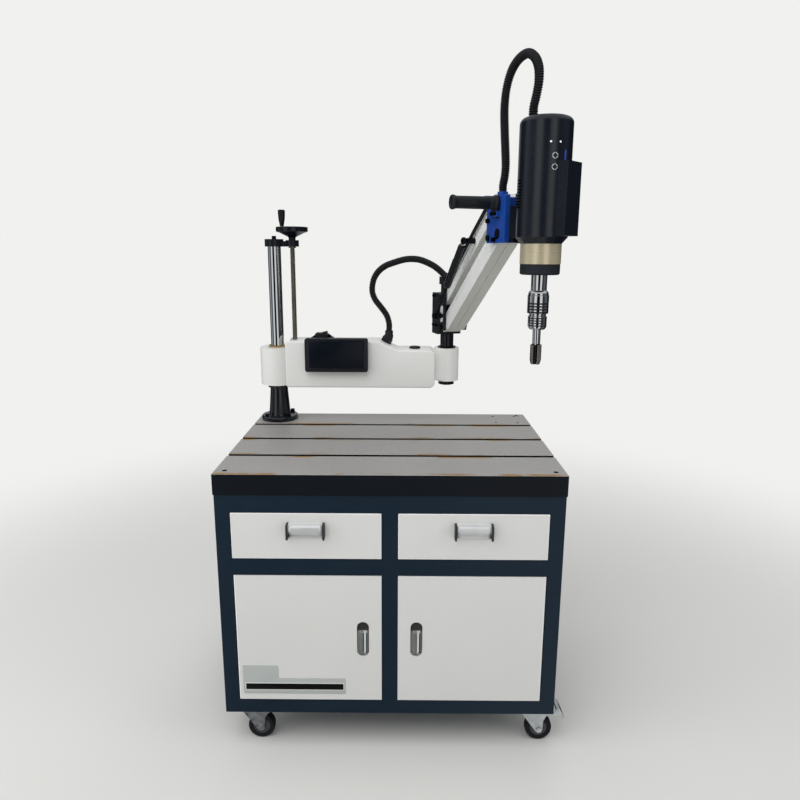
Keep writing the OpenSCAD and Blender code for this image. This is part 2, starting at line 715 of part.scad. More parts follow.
module arm_casting() color("#dedfdc") at_bench() difference() {
    union() {
        translate([col_x, col_back, arm_low]) cylinder(r = boss_r, h = arm_top - arm_low, $fn = 96);
        translate([post_x, col_back, elbow_low])
            cylinder(r = elbow_boss_r, h = arm_top - elbow_low, $fn = 96);
        block(col_x, post_x, col_back - web_half, col_back + web_half, web_z0, web_z1);
        // Lugs that carry the cover in front and behind
        for (x = lug_x) {
            block(x - 9, x + 9, cover_front + cover_t, col_back, web_z0 + 12, web_z1 - 12);
            block(x - 9, x + 9, col_back, cover_back - cover_t, web_z0 + 12, web_z1 - 12);
        }
    }
    translate([col_x, col_back, arm_low - 1]) cylinder(r = col_r + bush_wall, h = arm_top - arm_low + 2);
    translate([post_x, col_back, elbow_low - 1])
        cylinder(r = post_r + bush_wall, h = arm_top - elbow_low + 2);
    translate([screw_x, col_back, web_z0 - 30]) cylinder(r = screw_r + 2, h = 200);
    translate([screw_x, col_back, web_z1 - 26]) cylinder(r = nut_r, h = 60);
    translate([plug_x, col_back, web_z1 - 8]) cylinder(r = plug_hole + 1, h = 20);
}
lug_x = [cover_left + 50, cover_right - 30];
nut_r = 15;
nut_flange = 22;
nut_lip = 8;

module arm_bushes() color("#b08d4f") at_bench() {
    translate([col_x, col_back, 0]) {
        ring(col_r + bush_wall, col_r + run, arm_low, arm_low + 32);
        ring(col_r + bush_wall, col_r + run, arm_top - 34, arm_top + 6);
        ring(col_r + bush_wall + 3, col_r + bush_wall - 1, arm_top, arm_top + 6);
    }
    translate([post_x, col_back, 0]) {
        ring(post_r + bush_wall, post_r + run, elbow_low, elbow_low + 30);
        ring(post_r + bush_wall, post_r + run, arm_top - 34, arm_top + 4);
        ring(post_r + bush_wall + 3, post_r + bush_wall - 1, arm_top, arm_top + 4);
    }
}
module lead_nut() color("#b89552") at_screw() difference() {
    union() {
        translate([0, 0, web_z1 - 26]) cylinder(r = nut_r, h = 26 + nut_lip);
        translate([0, 0, web_z1]) intersection() {
            cylinder(r = nut_flange, h = nut_lip);
            block(-screw_off + boss_r + 0.5, nut_flange, -nut_flange, nut_flange, 0, nut_lip);
        }
    }
    translate([0, 0, web_z1 - 30]) cylinder(r = screw_r + run, h = 60);
}

// The outline of the cover, seen from the front
module cover_outline(t) polygon([[cover_left + t, cover_z0 + t], [cover_right - t - 12, cover_z0 + t],
    [cover_right - t, cover_z0 + 12 + t / 2], [cover_right - t, cover_z2 - 12 - t / 2],
    [cover_right - t - 4, cover_z2 - 4 - t], [cover_right - t - 12, cover_z2 - t],
    [cover_slope_b, cover_z2 - t], [cover_slope_a, cover_z1 - t], [cover_left + t, cover_z1 - t]]);
module electronics_cover() color("#e3e4e1") at_bench() {
    difference() {
        union() {
            translate([0, cover_back, 0]) rotate([90, 0, 0])
                linear_extrude(cover_back - cover_front) cover_outline(0);
            // The raised seat of the power switch
            block(switch_x, switch_x + switch_w, switch_y, switch_y + 30, cover_z1 - 1, switch_top);
            // The hose gland on the slope: a hexagon and its neck
            translate([gland_x, gland_y, cover_z2]) cylinder(r = 17, h = 40, $fn = 6);
            translate([gland_x, gland_y, cover_z2]) cylinder(r = gland_r, h = gland_top - cover_z2);
        }
        translate([0, cover_back - cover_t, 0]) rotate([90, 0, 0])
            linear_extrude(cover_back - cover_front - 2 * cover_t) cover_outline(cover_t);
        // Openings for the boss, the casting's web, the screw, the plug and the hose
        translate([col_x, col_back, 0]) cylinder(r = boss_r + 0.5, h = arm_top * 2, $fn = 96);
        block(cover_left - 5, cover_right + 5, col_back - web_half - 0.3, col_back + web_half + 0.3,
            web_z0 - 0.3, web_z1 + 0.3);
        translate([screw_x, col_back, cover_z0 - 1])
            cylinder(r = screw_r + 4, h = cover_z1 - cover_z0 + 2);
        translate([plug_x, col_back, cover_z2 - 10]) cylinder(r = plug_hole + run, h = 30);
        translate([gland_x, gland_y, cover_z2 - 10]) cylinder(r = hose_bore, h = 100);
        translate([rocker_x, switch_y + 1.5, rocker_pin_z]) rotate([-90, 0, 0])
            cylinder(r = 2.5 + run, h = 27);
        block(rocker_x - 19, rocker_x + 19, switch_y + 4, switch_y + 26, switch_top - 14, switch_top + 9);
    }
}
// The switch: a wide rocker on its cross pin, standing with its right side up
rocker_x = switch_x + 38;
rocker_pin_z = switch_top - 7;
module power_rocker() color("#9b1f1c") at_bench() union() {
    translate([rocker_x, switch_y + 15, rocker_pin_z]) rotate([90, 0, 0])
        linear_extrude(2 * (11 - 0.5), center = true)
            polygon([[-12, -4], [12, -4], [17.5, 4], [17.5, 13.5], [0, 9], [-17.5, 9.5], [-17.5, 4]]);
    translate([rocker_x, switch_y + 2, rocker_pin_z]) rotate([-90, 0, 0]) cylinder(r = 2.5, h = 26);
}

module display_housing() color("#232a31") at_bench() difference() {
    translate([display_x, cover_front - display_d, display_z]) rotate([90, 0, 0])
        mirror([0, 0, 1]) linear_extrude(display_d) rounded(display_w, display_h, display_corner);
    translate([display_x, cover_front - display_d - 1, display_z]) rotate([90, 0, 0])
        mirror([0, 0, 1]) linear_extrude(glass_t + 1) translate([glass_rim, glass_rim])
            rounded(display_w - 2 * glass_rim, display_h - glass_rim - glass_top_rim, glass_corner);
}
// A rectangle with round corners, from its lower left corner
module rounded(w, h, r) union() {
    translate([r, 0]) square([w - 2 * r, h]);
    translate([0, r]) square([w, h - 2 * r]);
    for (x = [r, w - r], y = [r, h - r]) translate([x, y]) circle(r = r);
}
module display_glass() color("#101519") at_bench()
    translate([display_x + glass_rim, cover_front - display_d + glass_sunk, display_z + glass_rim])
        rotate([90, 0, 0]) mirror([0, 0, 1]) linear_extrude(glass_t - glass_sunk)
            rounded(display_w - 2 * glass_rim, display_h - glass_rim - glass_top_rim, glass_corner);

module arm_plug() color("#16191c") at_bench() translate([plug_x, col_back, 0]) {
    translate([0, 0, cover_z2]) cylinder(r = plug_r, h = 5);
    translate([0, 0, cover_z2 + 4]) cylinder(r1 = plug_r - 1, r2 = plug_r - 5, h = 3, $fn = 64);
    translate([0, 0, cover_z2 - 8]) cylinder(r = plug_hole, h = 9);
}

// ---------- Elbow ----------

module elbow_post() color("#20262c") at_post() {
    translate([0, 0, elbow_low - 4]) cylinder(r = post_r, h = bracket_base - elbow_low + 4);
    translate([0, 0, arm_top + 4 + seat_gap]) cylinder(r = post_r + 5, h = 7);
    // The washer and screw that keep the post in its bushes
    translate([0, 0, elbow_low - 7]) cylinder(r = post_r + 6, h = 7 - seat_gap);
    translate([0, 0, elbow_low - 15]) cylinder(r = 9, h = 9, $fn = 6);
}

module elbow_bracket() color("#262d34") on_arm() {
    difference() {
        union() {
            for (side = [-1, 1]) {
                y = side * (plate_in + plate_out) / 2;
                t = (plate_out - plate_in) / 2;
                block(bracket_back, bracket_front, y - t, y + t, bracket_low, bracket_top);
            }
            block(bracket_back, bracket_back + 12, -plate_out, plate_out, bracket_base, bracket_top);
            block(bracket_back, base_front, -plate_out, plate_out, bracket_base, bracket_low + eps);
        }
        for (z = [pivot_z, pivot_z + link_gap])
            across(pivot_a, z, pin_r + run, -plate_out - 1, plate_out + 1);
        // The slot for the gas spring's anchor, in the left plate
        for (z = slot_z) across(anchor_a, z, slot_r, -plate_out - 1, -plate_in + 1);
        block(anchor_a - slot_r, anchor_a + slot_r, -plate_out - 1, -plate_in + 1,
            slot_z[0], slot_z[1]);
    }
    // The riser and the junction block that takes the end of the lower hose and the conduit
    difference() {
        union() {
            block(riser_a0, riser_a0 + 22, -plate_out, -plate_in, bracket_top - eps, junction_z0);
            block(riser_a0, junction_a1, -plate_out - 6, -plate_in + 2, junction_z0, junction_z1);
            at_hose_end() translate([0, 0, hose_seat]) cylinder(r = hose_r, h = 7);
        }
        // The block is cut back round the hose, and bored for the hose and the conduit
        at_hose_end() translate([0, 0, -hose_clear]) cylinder(r = hose_r + 0.5, h = hose_clear + hose_seat);
        at_hose_end() cylinder(r = hose_bore, h = 6);
        translate([junction_a1 - 6, -conduit_y, arm_top + conduit_route[0][1]]) rotate([0, 90, 0])
            cylinder(r = conduit_bore, h = 12);
    }
}
slot_z = [pivot_z + 18, pivot_z + 68];
riser_a0 = 46;
junction_a1 = conduit_route[0][0] - hose_seat;
junction_z0 = bracket_top + 30;
junction_z1 = junction_z0 + 24;
hose_clear = 25;
// The lower hose's end and its axis, seen from the arm's own frame
hose_end_lean = atan2(lower_end[0] - lower_end_before[0], lower_end[1] - lower_end_before[1]);
module at_hose_end() rotate([0, 0, -arm_yaw]) translate([gland_x - post_x, gland_y - post_y, arm_top])
    rotate([0, 0, lower_yaw]) translate([lower_end[0], 0, lower_end[1]])
        rotate([0, hose_end_lean, 0]) children();
base_front = 18;

module link_pins_low() color("#3a3f45") on_arm() {
    for (z = [pivot_z, pivot_z + link_gap]) {
        across(pivot_a, z, pin_r, -plate_out, plate_out);
        across(pivot_a, z, pin_r + 3, -plate_out - 4, -plate_out);
        across(pivot_a, z, pin_r + 3, plate_out, plate_out + 4);
    }
    // The gas spring's anchor: a nut on the plate, a pin and a washer outside the eye
    across(anchor_a, anchor_z, 9, -plate_out - 8, -plate_out);
    across(anchor_a, anchor_z, anchor_r, -gas_y - 12, -plate_in);
    across(anchor_a, anchor_z, 11, -gas_y - 11, -gas_y - 7);
}
anchor_r = 4;
slot_r = anchor_r + run;

// ---------- Upper arm ----------

// Children stand on a link's own axis: X runs from its lower pivot to its upper one
module on_link(z) on_arm() translate([pivot_a, 0, z]) rotate([0, -link_angle, 0]) children();

module main_beam() color("#b9bdbf") on_link(pivot_z) difference() {
    union() {
        block(25, link_len, -beam_w / 2, beam_w / 2, -beam_h / 2, beam_h / 2);
        across(link_len, 0, beam_h / 2, -beam_w / 2, beam_w / 2);
        block(0, 26, -beam_w / 2, beam_w / 2, -tongue_r, tongue_r);
        across(0, 0, tongue_r, -beam_w / 2, beam_w / 2);
    }
    for (s = [0, link_len]) across(s, 0, pin_r + run, -beam_w / 2 - 1, beam_w / 2 + 1);
    // The fine groove all along the profile's underside
    block(26, link_len + beam_h, -groove_w / 2, groove_w / 2, -beam_h / 2 - 1, -beam_h / 2 + groove_w);
}
groove_w = 2;
module upper_link() color("#c6cacb") on_link(pivot_z + link_gap) {
    difference() {
        union() {
            block(0, link_len, -link_w / 2, link_w / 2, -link_h / 2, link_h / 2);
            for (s = [0, link_len]) across(s, 0, link_h / 2, -link_w / 2, link_w / 2);
        }
        for (s = [0, link_len]) across(s, 0, pin_r + run, -link_w / 2 - 1, link_w / 2 + 1);
    }
    // The ball stud that carries the gas spring's upper end
    across(stud_s, 0, 8, -gas_y + 8, -link_w / 2 + eps);
    across(stud_s, 0, 5, -gas_y - 7, -gas_y + 9);
}
module link_pins_high() color("#3a3f45") on_arm() {
    for (z = [top_z, top_z + link_gap]) {
        across(top_a, z, pin_r, -blue_out, blue_out);
        across(top_a, z, pin_r + 2, -blue_out - 5, -blue_out);
        across(top_a, z, pin_r + 2, blue_out, blue_out + 5);
    }
    // The tilt pin with its wide head, and the screws that hold the middle web
    across(tilt_a, tilt_z, tilt_r, -blue_out, blue_out);
    across(tilt_a, tilt_z, 13, -blue_out - 2, -blue_out);
    across(tilt_a, tilt_z, 13, blue_out, blue_out + 2);
    for (side = [-1, 1], spot = [[1, 42], [39, -5]])
        across(top_a + spot[0], top_z + spot[1], 6, side < 0 ? -blue_out - 5 : blue_out,
            side < 0 ? -blue_out : blue_out + 5);
}

// The gas spring: local X runs down from the stud to the anchor
module on_gas() on_arm() translate([stud_a, -gas_y, stud_z]) rotate([0, 180 - gas_angle, 0]) children();
module gas_cylinder() color("#1d2125") on_gas() difference() {
    union() {
        across(0, 0, 10, -6.5, 6.5);
        translate([6, 0, 0]) rotate([0, 90, 0]) cylinder(r = 6, h = 16);
        translate([18, 0, 0]) rotate([0, 90, 0]) cylinder(r = gas_r, h = gas_body);
    }
    across(0, 0, 5 + run, -8, 8);
    translate([24, 0, 0]) rotate([0, 90, 0]) cylinder(r = gas_rod_r + run, h = gas_body);
}
gas_rod_in = 62;
module gas_rod() color("#8f9496") on_gas() {
    translate([gas_rod_in, 0, 0]) rotate([0, 90, 0])
        cylinder(r = gas_rod_r, h = gas_len - gas_rod_in - eye_out + 2);
    difference() {
        across(gas_len, 0, eye_out, -5, 5);
        across(gas_len, 0, eye_in, -6, 6);
    }
}
// The lower eye is wide, because the spring's turn follows the arm in one fixed ratio
eye_out = 11;
eye_in = 7.8;

// ---------- Head bracket ----------

module head_plates() color("#2459b3") on_arm() difference() {
    union() {
        for (side = [-1, 1]) {
            y = side * (blue_in + blue_out) / 2;
            t = (blue_out - blue_in) / 2;
            translate([blue_a0, y + t, blue_z0]) rotate([90, 0, 0]) linear_extrude(2 * t)
                rounded(blue_a1 - blue_a0, blue_z1 - blue_z0, blue_corner);
        }
        block(web_a, web_a + 8, -blue_out + 2, blue_out - 2, web_low, blue_z1 - 2);
        // The clamp block under the handle, the conduit's block and the hose's gland
        block(tilt_a - 14, tilt_a + 14, -blue_out - 10, -blue_out + eps, tilt_z + 40, tilt_z + 53);
        block(top_a - conduit_back, blue_a0 + 3, -blue_out - 8, -blue_in + 2, blue_z1 - 28, blue_z1 + 4);
        translate([hose_start_a, hose_start_y, blue_z1 - 16])
            cylinder(r = upper_gland_r, h = hose_foot - blue_z1 + 16);
    }
    translate([hose_start_a, hose_start_y, hose_foot - 4]) cylinder(r = hose_bore, h = 20);
    for (z = [top_z, top_z + link_gap]) across(top_a, z, pin_r + run, -blue_out - 1, blue_out + 1);
    across(tilt_a, tilt_z, tilt_r + run, -blue_out - 1, blue_out + 1);
    across(handle_a, handle_z, handle_r + run, -blue_out - 1, -blue_in + 1);
}
// The conduit's block stands this far in front of the upper pivots
conduit_back = 14.5;
// The upper gland stays inside the left plate's outer face
upper_gland_r = blue_out + hose_start_y - 0.2;
hose_foot = top_z + upper_route[0][1] - hose_seat;
module handle_grip() color("#24272b") on_arm() {
    across(handle_a, handle_z, handle_r, -blue_out - 10, -blue_in);
    across(handle_a, handle_z, 18, -blue_out - 12, -blue_out - seat_gap);
    across(handle_a, handle_z, grip_r, -blue_out - grip_len, -blue_out - 11);
    across(handle_a, handle_z, grip_r + 2, -blue_out - grip_len - 6, -blue_out - grip_len);
}

// ---------- Head ----------

module tilt_block() color("#1f242a") on_arm() difference() {
    union() {
        block(tilt_a, block_a + 1, -tongue_half, tongue_half, tilt_z - tongue_r2, tilt_z + tongue_r2);
        across(tilt_a, tilt_z, tongue_r2, -tongue_half, tongue_half);
        block(block_a, head_a - 20, -block_half, block_half, hood_z + chamfer + 1, block_z1);
    }
    across(tilt_a, tilt_z, tilt_r + run, -60, 60);
    translate([head_a, 0, 0]) cylinder(r = hood_r, h = hood_top, $fn = 96);
    translate([knob_a, knob_y, block_z1 - 20]) cylinder(r = 4 + run, h = 40);
}
block_half = 42;
block_z1 = hood_z + 87;
knob_a = block_a + 9;
knob_y = -24;
module clamp_knob() color("#141619") on_arm() translate([knob_a, knob_y, block_z1]) {
    translate([0, 0, -18]) cylinder(r = 4, h = 22);
    translate([0, 0, 3]) cylinder(r = 6, h = 6);
    translate([0, 0, 8]) cylinder(r = 8, h = 20);
}

// The side box's place round the hood, from the arm's own direction
box_angle = 29;
box_half = 28;
box_r = 75;
box_z0 = hood_z + 16;
box_z1 = hood_z + 171;
crown = 14;
module hood_solid(t) union() {
    rotate_extrude($fn = 96) polygon([[0, hood_z + t], [gear_r - t / 2, hood_z + t],
        [hood_r - t, hood_z + chamfer + t],
        for (k = [0:15:90]) [hood_r - crown + (crown - t) * cos(k),
            hood_top - crown + (crown - t) * sin(k)],
        [0, hood_top - t]]);
    rotate([0, 0, box_angle]) block(0, box_r - t, -box_half + t, box_half - t, box_z0 + t, box_z1 - t);
}
module motor_hood() color("#2b2f38") at_head() {
    difference() {
        union() {
            hood_solid(0);
            // The hose's inlet on the crown
            translate([inlet_a, inlet_y, hood_top - 10])
                cylinder(r = gland_r, h = top_z + upper_end[1] - hose_seat - hood_top + 10);
        }
        hood_solid(hood_wall);
        translate([0, 0, hood_z - 1]) cylinder(r = gear_r - 2, h = hood_wall + 3);
        translate([inlet_a, inlet_y, hood_top - 20]) cylinder(r = hose_bore, h = 60);
        // The ten vent slots on the left
        for (k = [0:9]) rotate([0, 0, vent_angle])
            block(hood_r - 8, hood_r + 5, -13, 13, vent_z + k * vent_pitch, vent_z + k * vent_pitch + 3);
        for (z = button_z) rotate([0, 0, button_angle]) translate([hood_r - 10, 0, z]) rotate([0, 90, 0])
            cylinder(r = button_r + 0.4, h = 20);
    }
}
vent_angle = -97;
vent_z = hood_z + 77;
vent_pitch = 6.4;
inlet_a = hose_start_a + upper_end[0] * cos(upper_yaw) - head_a;
inlet_y = hose_start_y + upper_end[0] * sin(upper_yaw);

// The motor inside the hood: flange, round body and a blind bore for the spindle's stub
module servo_motor() color("#3b3e42") at_head() difference() {
    union() {
        translate([0, 0, hood_z]) cylinder(r = gear_r - 4, h = 10);
        translate([0, 0, hood_z]) cylinder(r = motor_r, h = motor_h);
        translate([0, 0, hood_z + motor_h - 1]) cylinder(r = motor_r - 8, h = 41);
    }
    translate([0, 0, hood_z - 1]) cylinder(r = stub_r + run, h = stub_h - 1);
}
motor_r = hood_r - 20;
motor_h = hood_h - 98;
stub_r = 7;
stub_h = 28;
module gear_housing() color("#c9bb97") at_head() difference() {
    translate([0, 0, gear_z]) cylinder(r = gear_r, h = gear_h, $fn = 96);
    translate([0, 0, gear_z - 1]) cylinder(r = spindle_r + run, h = hood_z - gear_z + 2);
}
module nose_ring() color("#1a1d20") at_head() difference() {
    rotate_extrude($fn = 96) polygon([[0, nose_z], [gear_r - 4, nose_z], [gear_r - 1, nose_z + 3],
        [gear_r - 1, gear_z], [0, gear_z]]);
    translate([0, 0, nose_z - 1]) cylinder(r = spindle_r + run, h = gear_z - nose_z + 2);
}
// A push button in its hole, with a rim inside the hood
module button(z) at_head() rotate([0, 0, button_angle]) translate([hood_r - 5.5, 0, z])
    rotate([0, 90, 0]) {
    cylinder(r = button_r, h = 7);
    cylinder(r = button_r + 2, h = 1.5);
}
module button_upper() color("#b9bec2") button(button_z[0]);
module button_lower() color("#b9bec2") button(button_z[1]);

module spindle() color("#9a9ea1") at_head() {
    translate([0, 0, chuck_z]) cylinder(r = spindle_r, h = hood_z - 4 - chuck_z);
    translate([0, 0, hood_z - 5]) cylinder(r = stub_r, h = stub_h);
}
module chuck() color("#8b8f92") at_head() difference() {
    union() {
        translate([0, 0, collar_z0]) cylinder(r = collar_r - 4.5, h = chuck_z - collar_z0);
        translate([0, 0, chuck_z - 5]) cylinder(r = collar_r, h = 5);
        rotate_extrude() polygon([[0, sleeve_z], [collar_r - 6, sleeve_z], [collar_r - 3, sleeve_z + 4],
            [collar_r - 3, collar_z0 + 1], [0, collar_z0 + 1]]);
    }
    translate([0, 0, sleeve_z - 1]) cylinder(r = shank_r + run, h = 46);
}
// The knurled quick-change collar: three grooves leave four bands
collar_base = collar_z0 + 1 + seat_gap;
collar_h = 42;
module chuck_collar() color("#a7abad") at_head() rotate_extrude() polygon(concat(
    [[collar_r - 4.5 + run, collar_base], [collar_r - 1, collar_base], [collar_r, collar_base + 1]],
    [for (k = [1:3], c = [[0, -1.5], [1.5, -0.5], [1.5, 0.5], [0, 1.5]])
        [collar_r - c[0], collar_base + k * collar_h / 4 + c[1]]],
    [[collar_r, collar_base + collar_h - 1], [collar_r - 1, collar_base + collar_h],
        [collar_r - 4.5 + run, collar_base + collar_h]]));

// A tap: shank, four flutes and a thread drawn as rings
tap_pitch = 2.5;
module tap() color("#8a8d8f") at_head() {
    translate([0, 0, thread_z - 1]) cylinder(r = shank_r, h = sleeve_z + 40 - thread_z);
    difference() {
        rotate_extrude() polygon(concat([[0, tip_z], [tap_r - 4, tip_z]],
            [for (z = [tip_z + tap_pitch:tap_pitch:thread_z - tap_pitch - 1], c = [[1, 0], [0, 0.5]])
                [min(tap_r - c[0], tap_r - 4 + (z - tip_z) * 0.5), z + c[1] * tap_pitch]],
            [[tap_r - 1, thread_z - 1], [shank_r, thread_z], [0, thread_z]]));
        for (k = [0:3]) rotate([0, 0, 45 + 90 * k]) translate([tap_r + 0.5, 0, tip_z - 1])
            cylinder(r = 5, h = thread_z - tip_z - 2);
    }
}

// ---------- Hoses ----------

// A point on the smooth curve through p[i]..p[i+1], t from 0 to 1
function curve_point(p, i, t) = let (a = p[max(i - 1, 0)], b = p[i], c = p[i + 1],
    d = p[min(i + 2, len(p) - 1)])
    0.5 * (2 * b + (c - a) * t + (2 * a - 5 * b + 4 * c - d) * t * t
        + (3 * b - a - 3 * c + d) * t * t * t);
// The route as many points about step mm apart, its last point included
function fine_route(p, step) = concat([for (i = [0:len(p) - 2],
    k = [0:ceil(norm(p[i + 1] - p[i]) / step) - 1])
        curve_point(p, i, k / ceil(norm(p[i + 1] - p[i]) / step))], [p[len(p) - 1]]);
function unit(v) = v / norm(v);
// The direction of a route at its point i; the ends run straight up or along the last step
function heading(q, i) = unit(q[min(i + 1, len(q) - 1)] - q[max(i - 1, 0)]);
// One ring of a hose, in its upright plane
function hose_ring(q, i, r, yaw) = let (d = heading(q, i), n = [-d[1], d[0]])
    [for (k = [0:hose_sides - 1]) let (f = 360 * (k + 0.5) / hose_sides, s = q[i][0] + r * cos(f) * n[0],
        h = r * sin(f))
        [s * cos(yaw) - h * sin(yaw), s * sin(yaw) + h * cos(yaw), q[i][1] + r * cos(f) * n[1]]];
// A ribbed hose: rings of two radii outside, a plain bore inside, one closed surface
module soft_tube(route, yaw, r_out, depth, bore, step, skip) {
    q = fine_route(route, step);
    n = len(q);
    outer = [for (i = [0:n - 1]) each hose_ring(q, i, i % 2 == 0 ? r_out - depth : r_out, yaw)];
    inner_at = concat([for (i = [0:skip:n - 2]) i], [n - 1]);
    m = len(inner_at);
    inner = [for (i = inner_at) each hose_ring(q, i, bore, yaw)];
    first = n * hose_sides;
    last_out = (n - 1) * hose_sides;
    last_in = first + (m - 1) * hose_sides;
    polyhedron(points = concat(outer, inner), faces = concat(
        [for (i = [0:n - 2], k = [0:hose_sides - 1], f = quad(i * hose_sides, (i + 1) * hose_sides, k)) f],
        [for (i = [0:m - 2], k = [0:hose_sides - 1],
            f = quad(first + (i + 1) * hose_sides, first + i * hose_sides, k)) f],
        [for (k = [0:hose_sides - 1], f = quad(first, 0, k)) f],
        [for (k = [0:hose_sides - 1], f = quad(last_out, last_in, k)) f]));
}
// Two triangles between ring a and ring b, at side k
function quad(a, b, k) = let (j = (k + 1) % hose_sides)
    [[a + k, a + j, b + j], [a + k, b + j, b + k]];
// The least gap of a hose to itself, over stretches more than 80 mm apart along it
function self_gap(route) = let (q = fine_route(route, 8))
    min([for (i = [0:len(q) - 11], j = [i + 10:len(q) - 1]) norm(q[i] - q[j])]) - 2 * hose_r;
echo(lower_hose_gap = self_gap(lower_route), upper_hose_gap = self_gap(upper_route));

module lower_hose() color("#2c2e30") at_bench() translate([gland_x, gland_y, arm_top])
    soft_tube(lower_route, lower_yaw, hose_r, rib_depth, hose_bore, rib_step, inner_skip);
module upper_hose() color("#2c2e30") on_arm() translate([hose_start_a, hose_start_y, top_z])
    soft_tube(upper_route, upper_yaw, hose_r, rib_depth, hose_bore, rib_step, inner_skip);
module conduit() color("#2a2c2e") on_arm() translate([0, -conduit_y, arm_top])
    soft_tube(conduit_route, 0, conduit_r, 0, conduit_bore, conduit_step, 1);
conduit_bore = conduit_r - 1.5;

cabinet_shell();
table_top();
fixing_screws();
drawer_runners();
drawer_left();
drawer_right();
drawer_pull_left();
drawer_pull_right();
door_left();
door_right();
door_hinge_pins();
latch_lever_left();
latch_lever_right();
caster_mounts();
caster_fork_left();
caster_fork_right();
wheel_front_left();
wheel_front_right();
wheel_rear_left();
wheel_rear_right();
brake_pedal();
column_base();
column_tube();
top_bracket();
lead_screw();
handwheel();
crank_handle();
arm_casting();
arm_bushes();
lead_nut();
electronics_cover();
display_housing();
display_glass();
power_rocker();
arm_plug();
elbow_post();
elbow_bracket();
link_pins_low();
main_beam();
upper_link();
link_pins_high();
gas_cylinder();
gas_rod();
head_plates();
handle_grip();
clamp_knob();
tilt_block();
motor_hood();
servo_motor();
gear_housing();
nose_ring();
button_upper();
button_lower();
spindle();
chuck();
chuck_collar();
tap();
lower_hose();
upper_hose();
conduit();
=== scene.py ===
import json, math
import bpy, bmesh
import numpy as np
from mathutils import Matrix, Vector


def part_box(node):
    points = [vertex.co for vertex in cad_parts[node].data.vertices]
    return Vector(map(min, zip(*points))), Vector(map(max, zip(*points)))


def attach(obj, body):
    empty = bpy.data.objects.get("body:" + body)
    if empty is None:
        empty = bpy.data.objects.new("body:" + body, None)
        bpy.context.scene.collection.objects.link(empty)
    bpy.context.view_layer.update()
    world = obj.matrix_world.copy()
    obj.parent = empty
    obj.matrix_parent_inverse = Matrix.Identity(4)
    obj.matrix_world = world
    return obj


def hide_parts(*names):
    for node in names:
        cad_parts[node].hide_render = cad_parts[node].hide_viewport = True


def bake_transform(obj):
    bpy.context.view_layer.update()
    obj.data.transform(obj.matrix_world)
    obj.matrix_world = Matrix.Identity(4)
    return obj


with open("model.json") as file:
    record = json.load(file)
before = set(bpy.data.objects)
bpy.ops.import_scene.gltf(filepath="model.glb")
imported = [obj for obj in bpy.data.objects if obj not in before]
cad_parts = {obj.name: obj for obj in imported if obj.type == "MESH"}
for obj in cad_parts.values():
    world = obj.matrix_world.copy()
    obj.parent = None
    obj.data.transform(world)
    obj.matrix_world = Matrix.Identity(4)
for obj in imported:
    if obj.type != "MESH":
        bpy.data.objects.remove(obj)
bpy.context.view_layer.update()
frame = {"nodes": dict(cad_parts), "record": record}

# ---------------------------------------------------------------- the room and the camera
# The machine stands on a pale floor that runs into a pale background, under wide soft lamps,
# seen from a little above the drawers and far enough back to take in the whole arm.
view_from = (0.007068, -1.708474, 1.348346)
view_turn = (math.pi / 2 - 0.2006434, -0.0033922, 0.0065118)
lens_mm = 27.57
pale = "#f1f1ef"


def tone(code, strength=1.0):
    """sRGB hex to linear: a channel above 0.04045 becomes ((c + 0.055) / 1.055) to the power 2.4, a lower one
    c / 12.92."""
    c = [int(code[i:i + 2], 16) / 255 for i in (1, 3, 5)]
    return tuple(strength * (((x + 0.055) / 1.055) ** 2.4 if x > 0.04045 else x / 12.92) for x in c) + (1.0,)


def add(tree, kind, inputs=None, **settings):
    """Adds one node. Settings go on the node; inputs go on its sockets, where a socket is linked and anything
    else is a value."""
    n = tree.nodes.new("ShaderNode" + kind)
    for k, v in settings.items():
        setattr(n, k, v)
    for k, v in (inputs or {}).items():
        if isinstance(v, bpy.types.NodeSocket):
            tree.links.new(v, n.inputs[k])
        else:
            n.inputs[k].default_value = v
    return n


def fresh(name):
    """A new material with an empty node tree: the material and its tree."""
    m = bpy.data.materials.new(name)
    m.use_nodes = True
    m.node_tree.nodes.clear()
    return m, m.node_tree


def placed(name, data):
    """A new object that holds the data, linked to the scene."""
    made = bpy.data.objects.new(name, data)
    bpy.context.collection.objects.link(made)
    return made


def finish(piece, coat, body=None, node=None, sharp=None):
    """Coats a piece, keeps its creases above sharp degrees, attaches it to its body, and hides the CAD node
    it stands for."""
    for m in coat if isinstance(coat, list) else [coat]:
        piece.data.materials.append(m)
    if sharp:
        piece.data.set_sharp_from_angle(angle=math.radians(sharp))
    if body:
        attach(piece, body)
    if node:
        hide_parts(node)
    return piece


def choose(piece, rule):
    """Picks each face's material: the rule gives the number of the material from the face."""
    piece.data.polygons.foreach_set("material_index", [int(rule(f)) for f in piece.data.polygons])


def noise(tree, where, scale, detail=2.0, rough=0.5):
    """A noise value at the place: its scale, its number of octaves and how much each octave adds."""
    return add(tree, "TexNoise", {"Vector": where, "Scale": scale, "Detail": detail,
                                  "Roughness": rough}).outputs["Fac"]


def mix(tree, share, first, second, blend="MIX"):
    """The first colour where the share is 0 and the second where it is 1."""
    return add(tree, "Mix", {0: share, 6: first, 7: second}, data_type="RGBA", blend_type=blend).outputs[2]


def remap(tree, value, start, end, low=0.0, high=1.0):
    """A value that runs from low to high in a straight line as the input runs from start to end."""
    return add(tree, "MapRange", {"Value": value, "From Min": start, "From Max": end, "To Min": low,
                                  "To Max": high}).outputs[0]


def calc(tree, operation, first, second=0.0):
    """One sum on two values."""
    return add(tree, "Math", {0: first, 1: second}, operation=operation).outputs[0]


def dent(tree, height, strength, distance):
    """The surface's direction, tipped by a height: how strongly, and over what distance in metres."""
    return add(tree, "Bump", {"Height": height, "Strength": strength, "Distance": distance}).outputs[0]


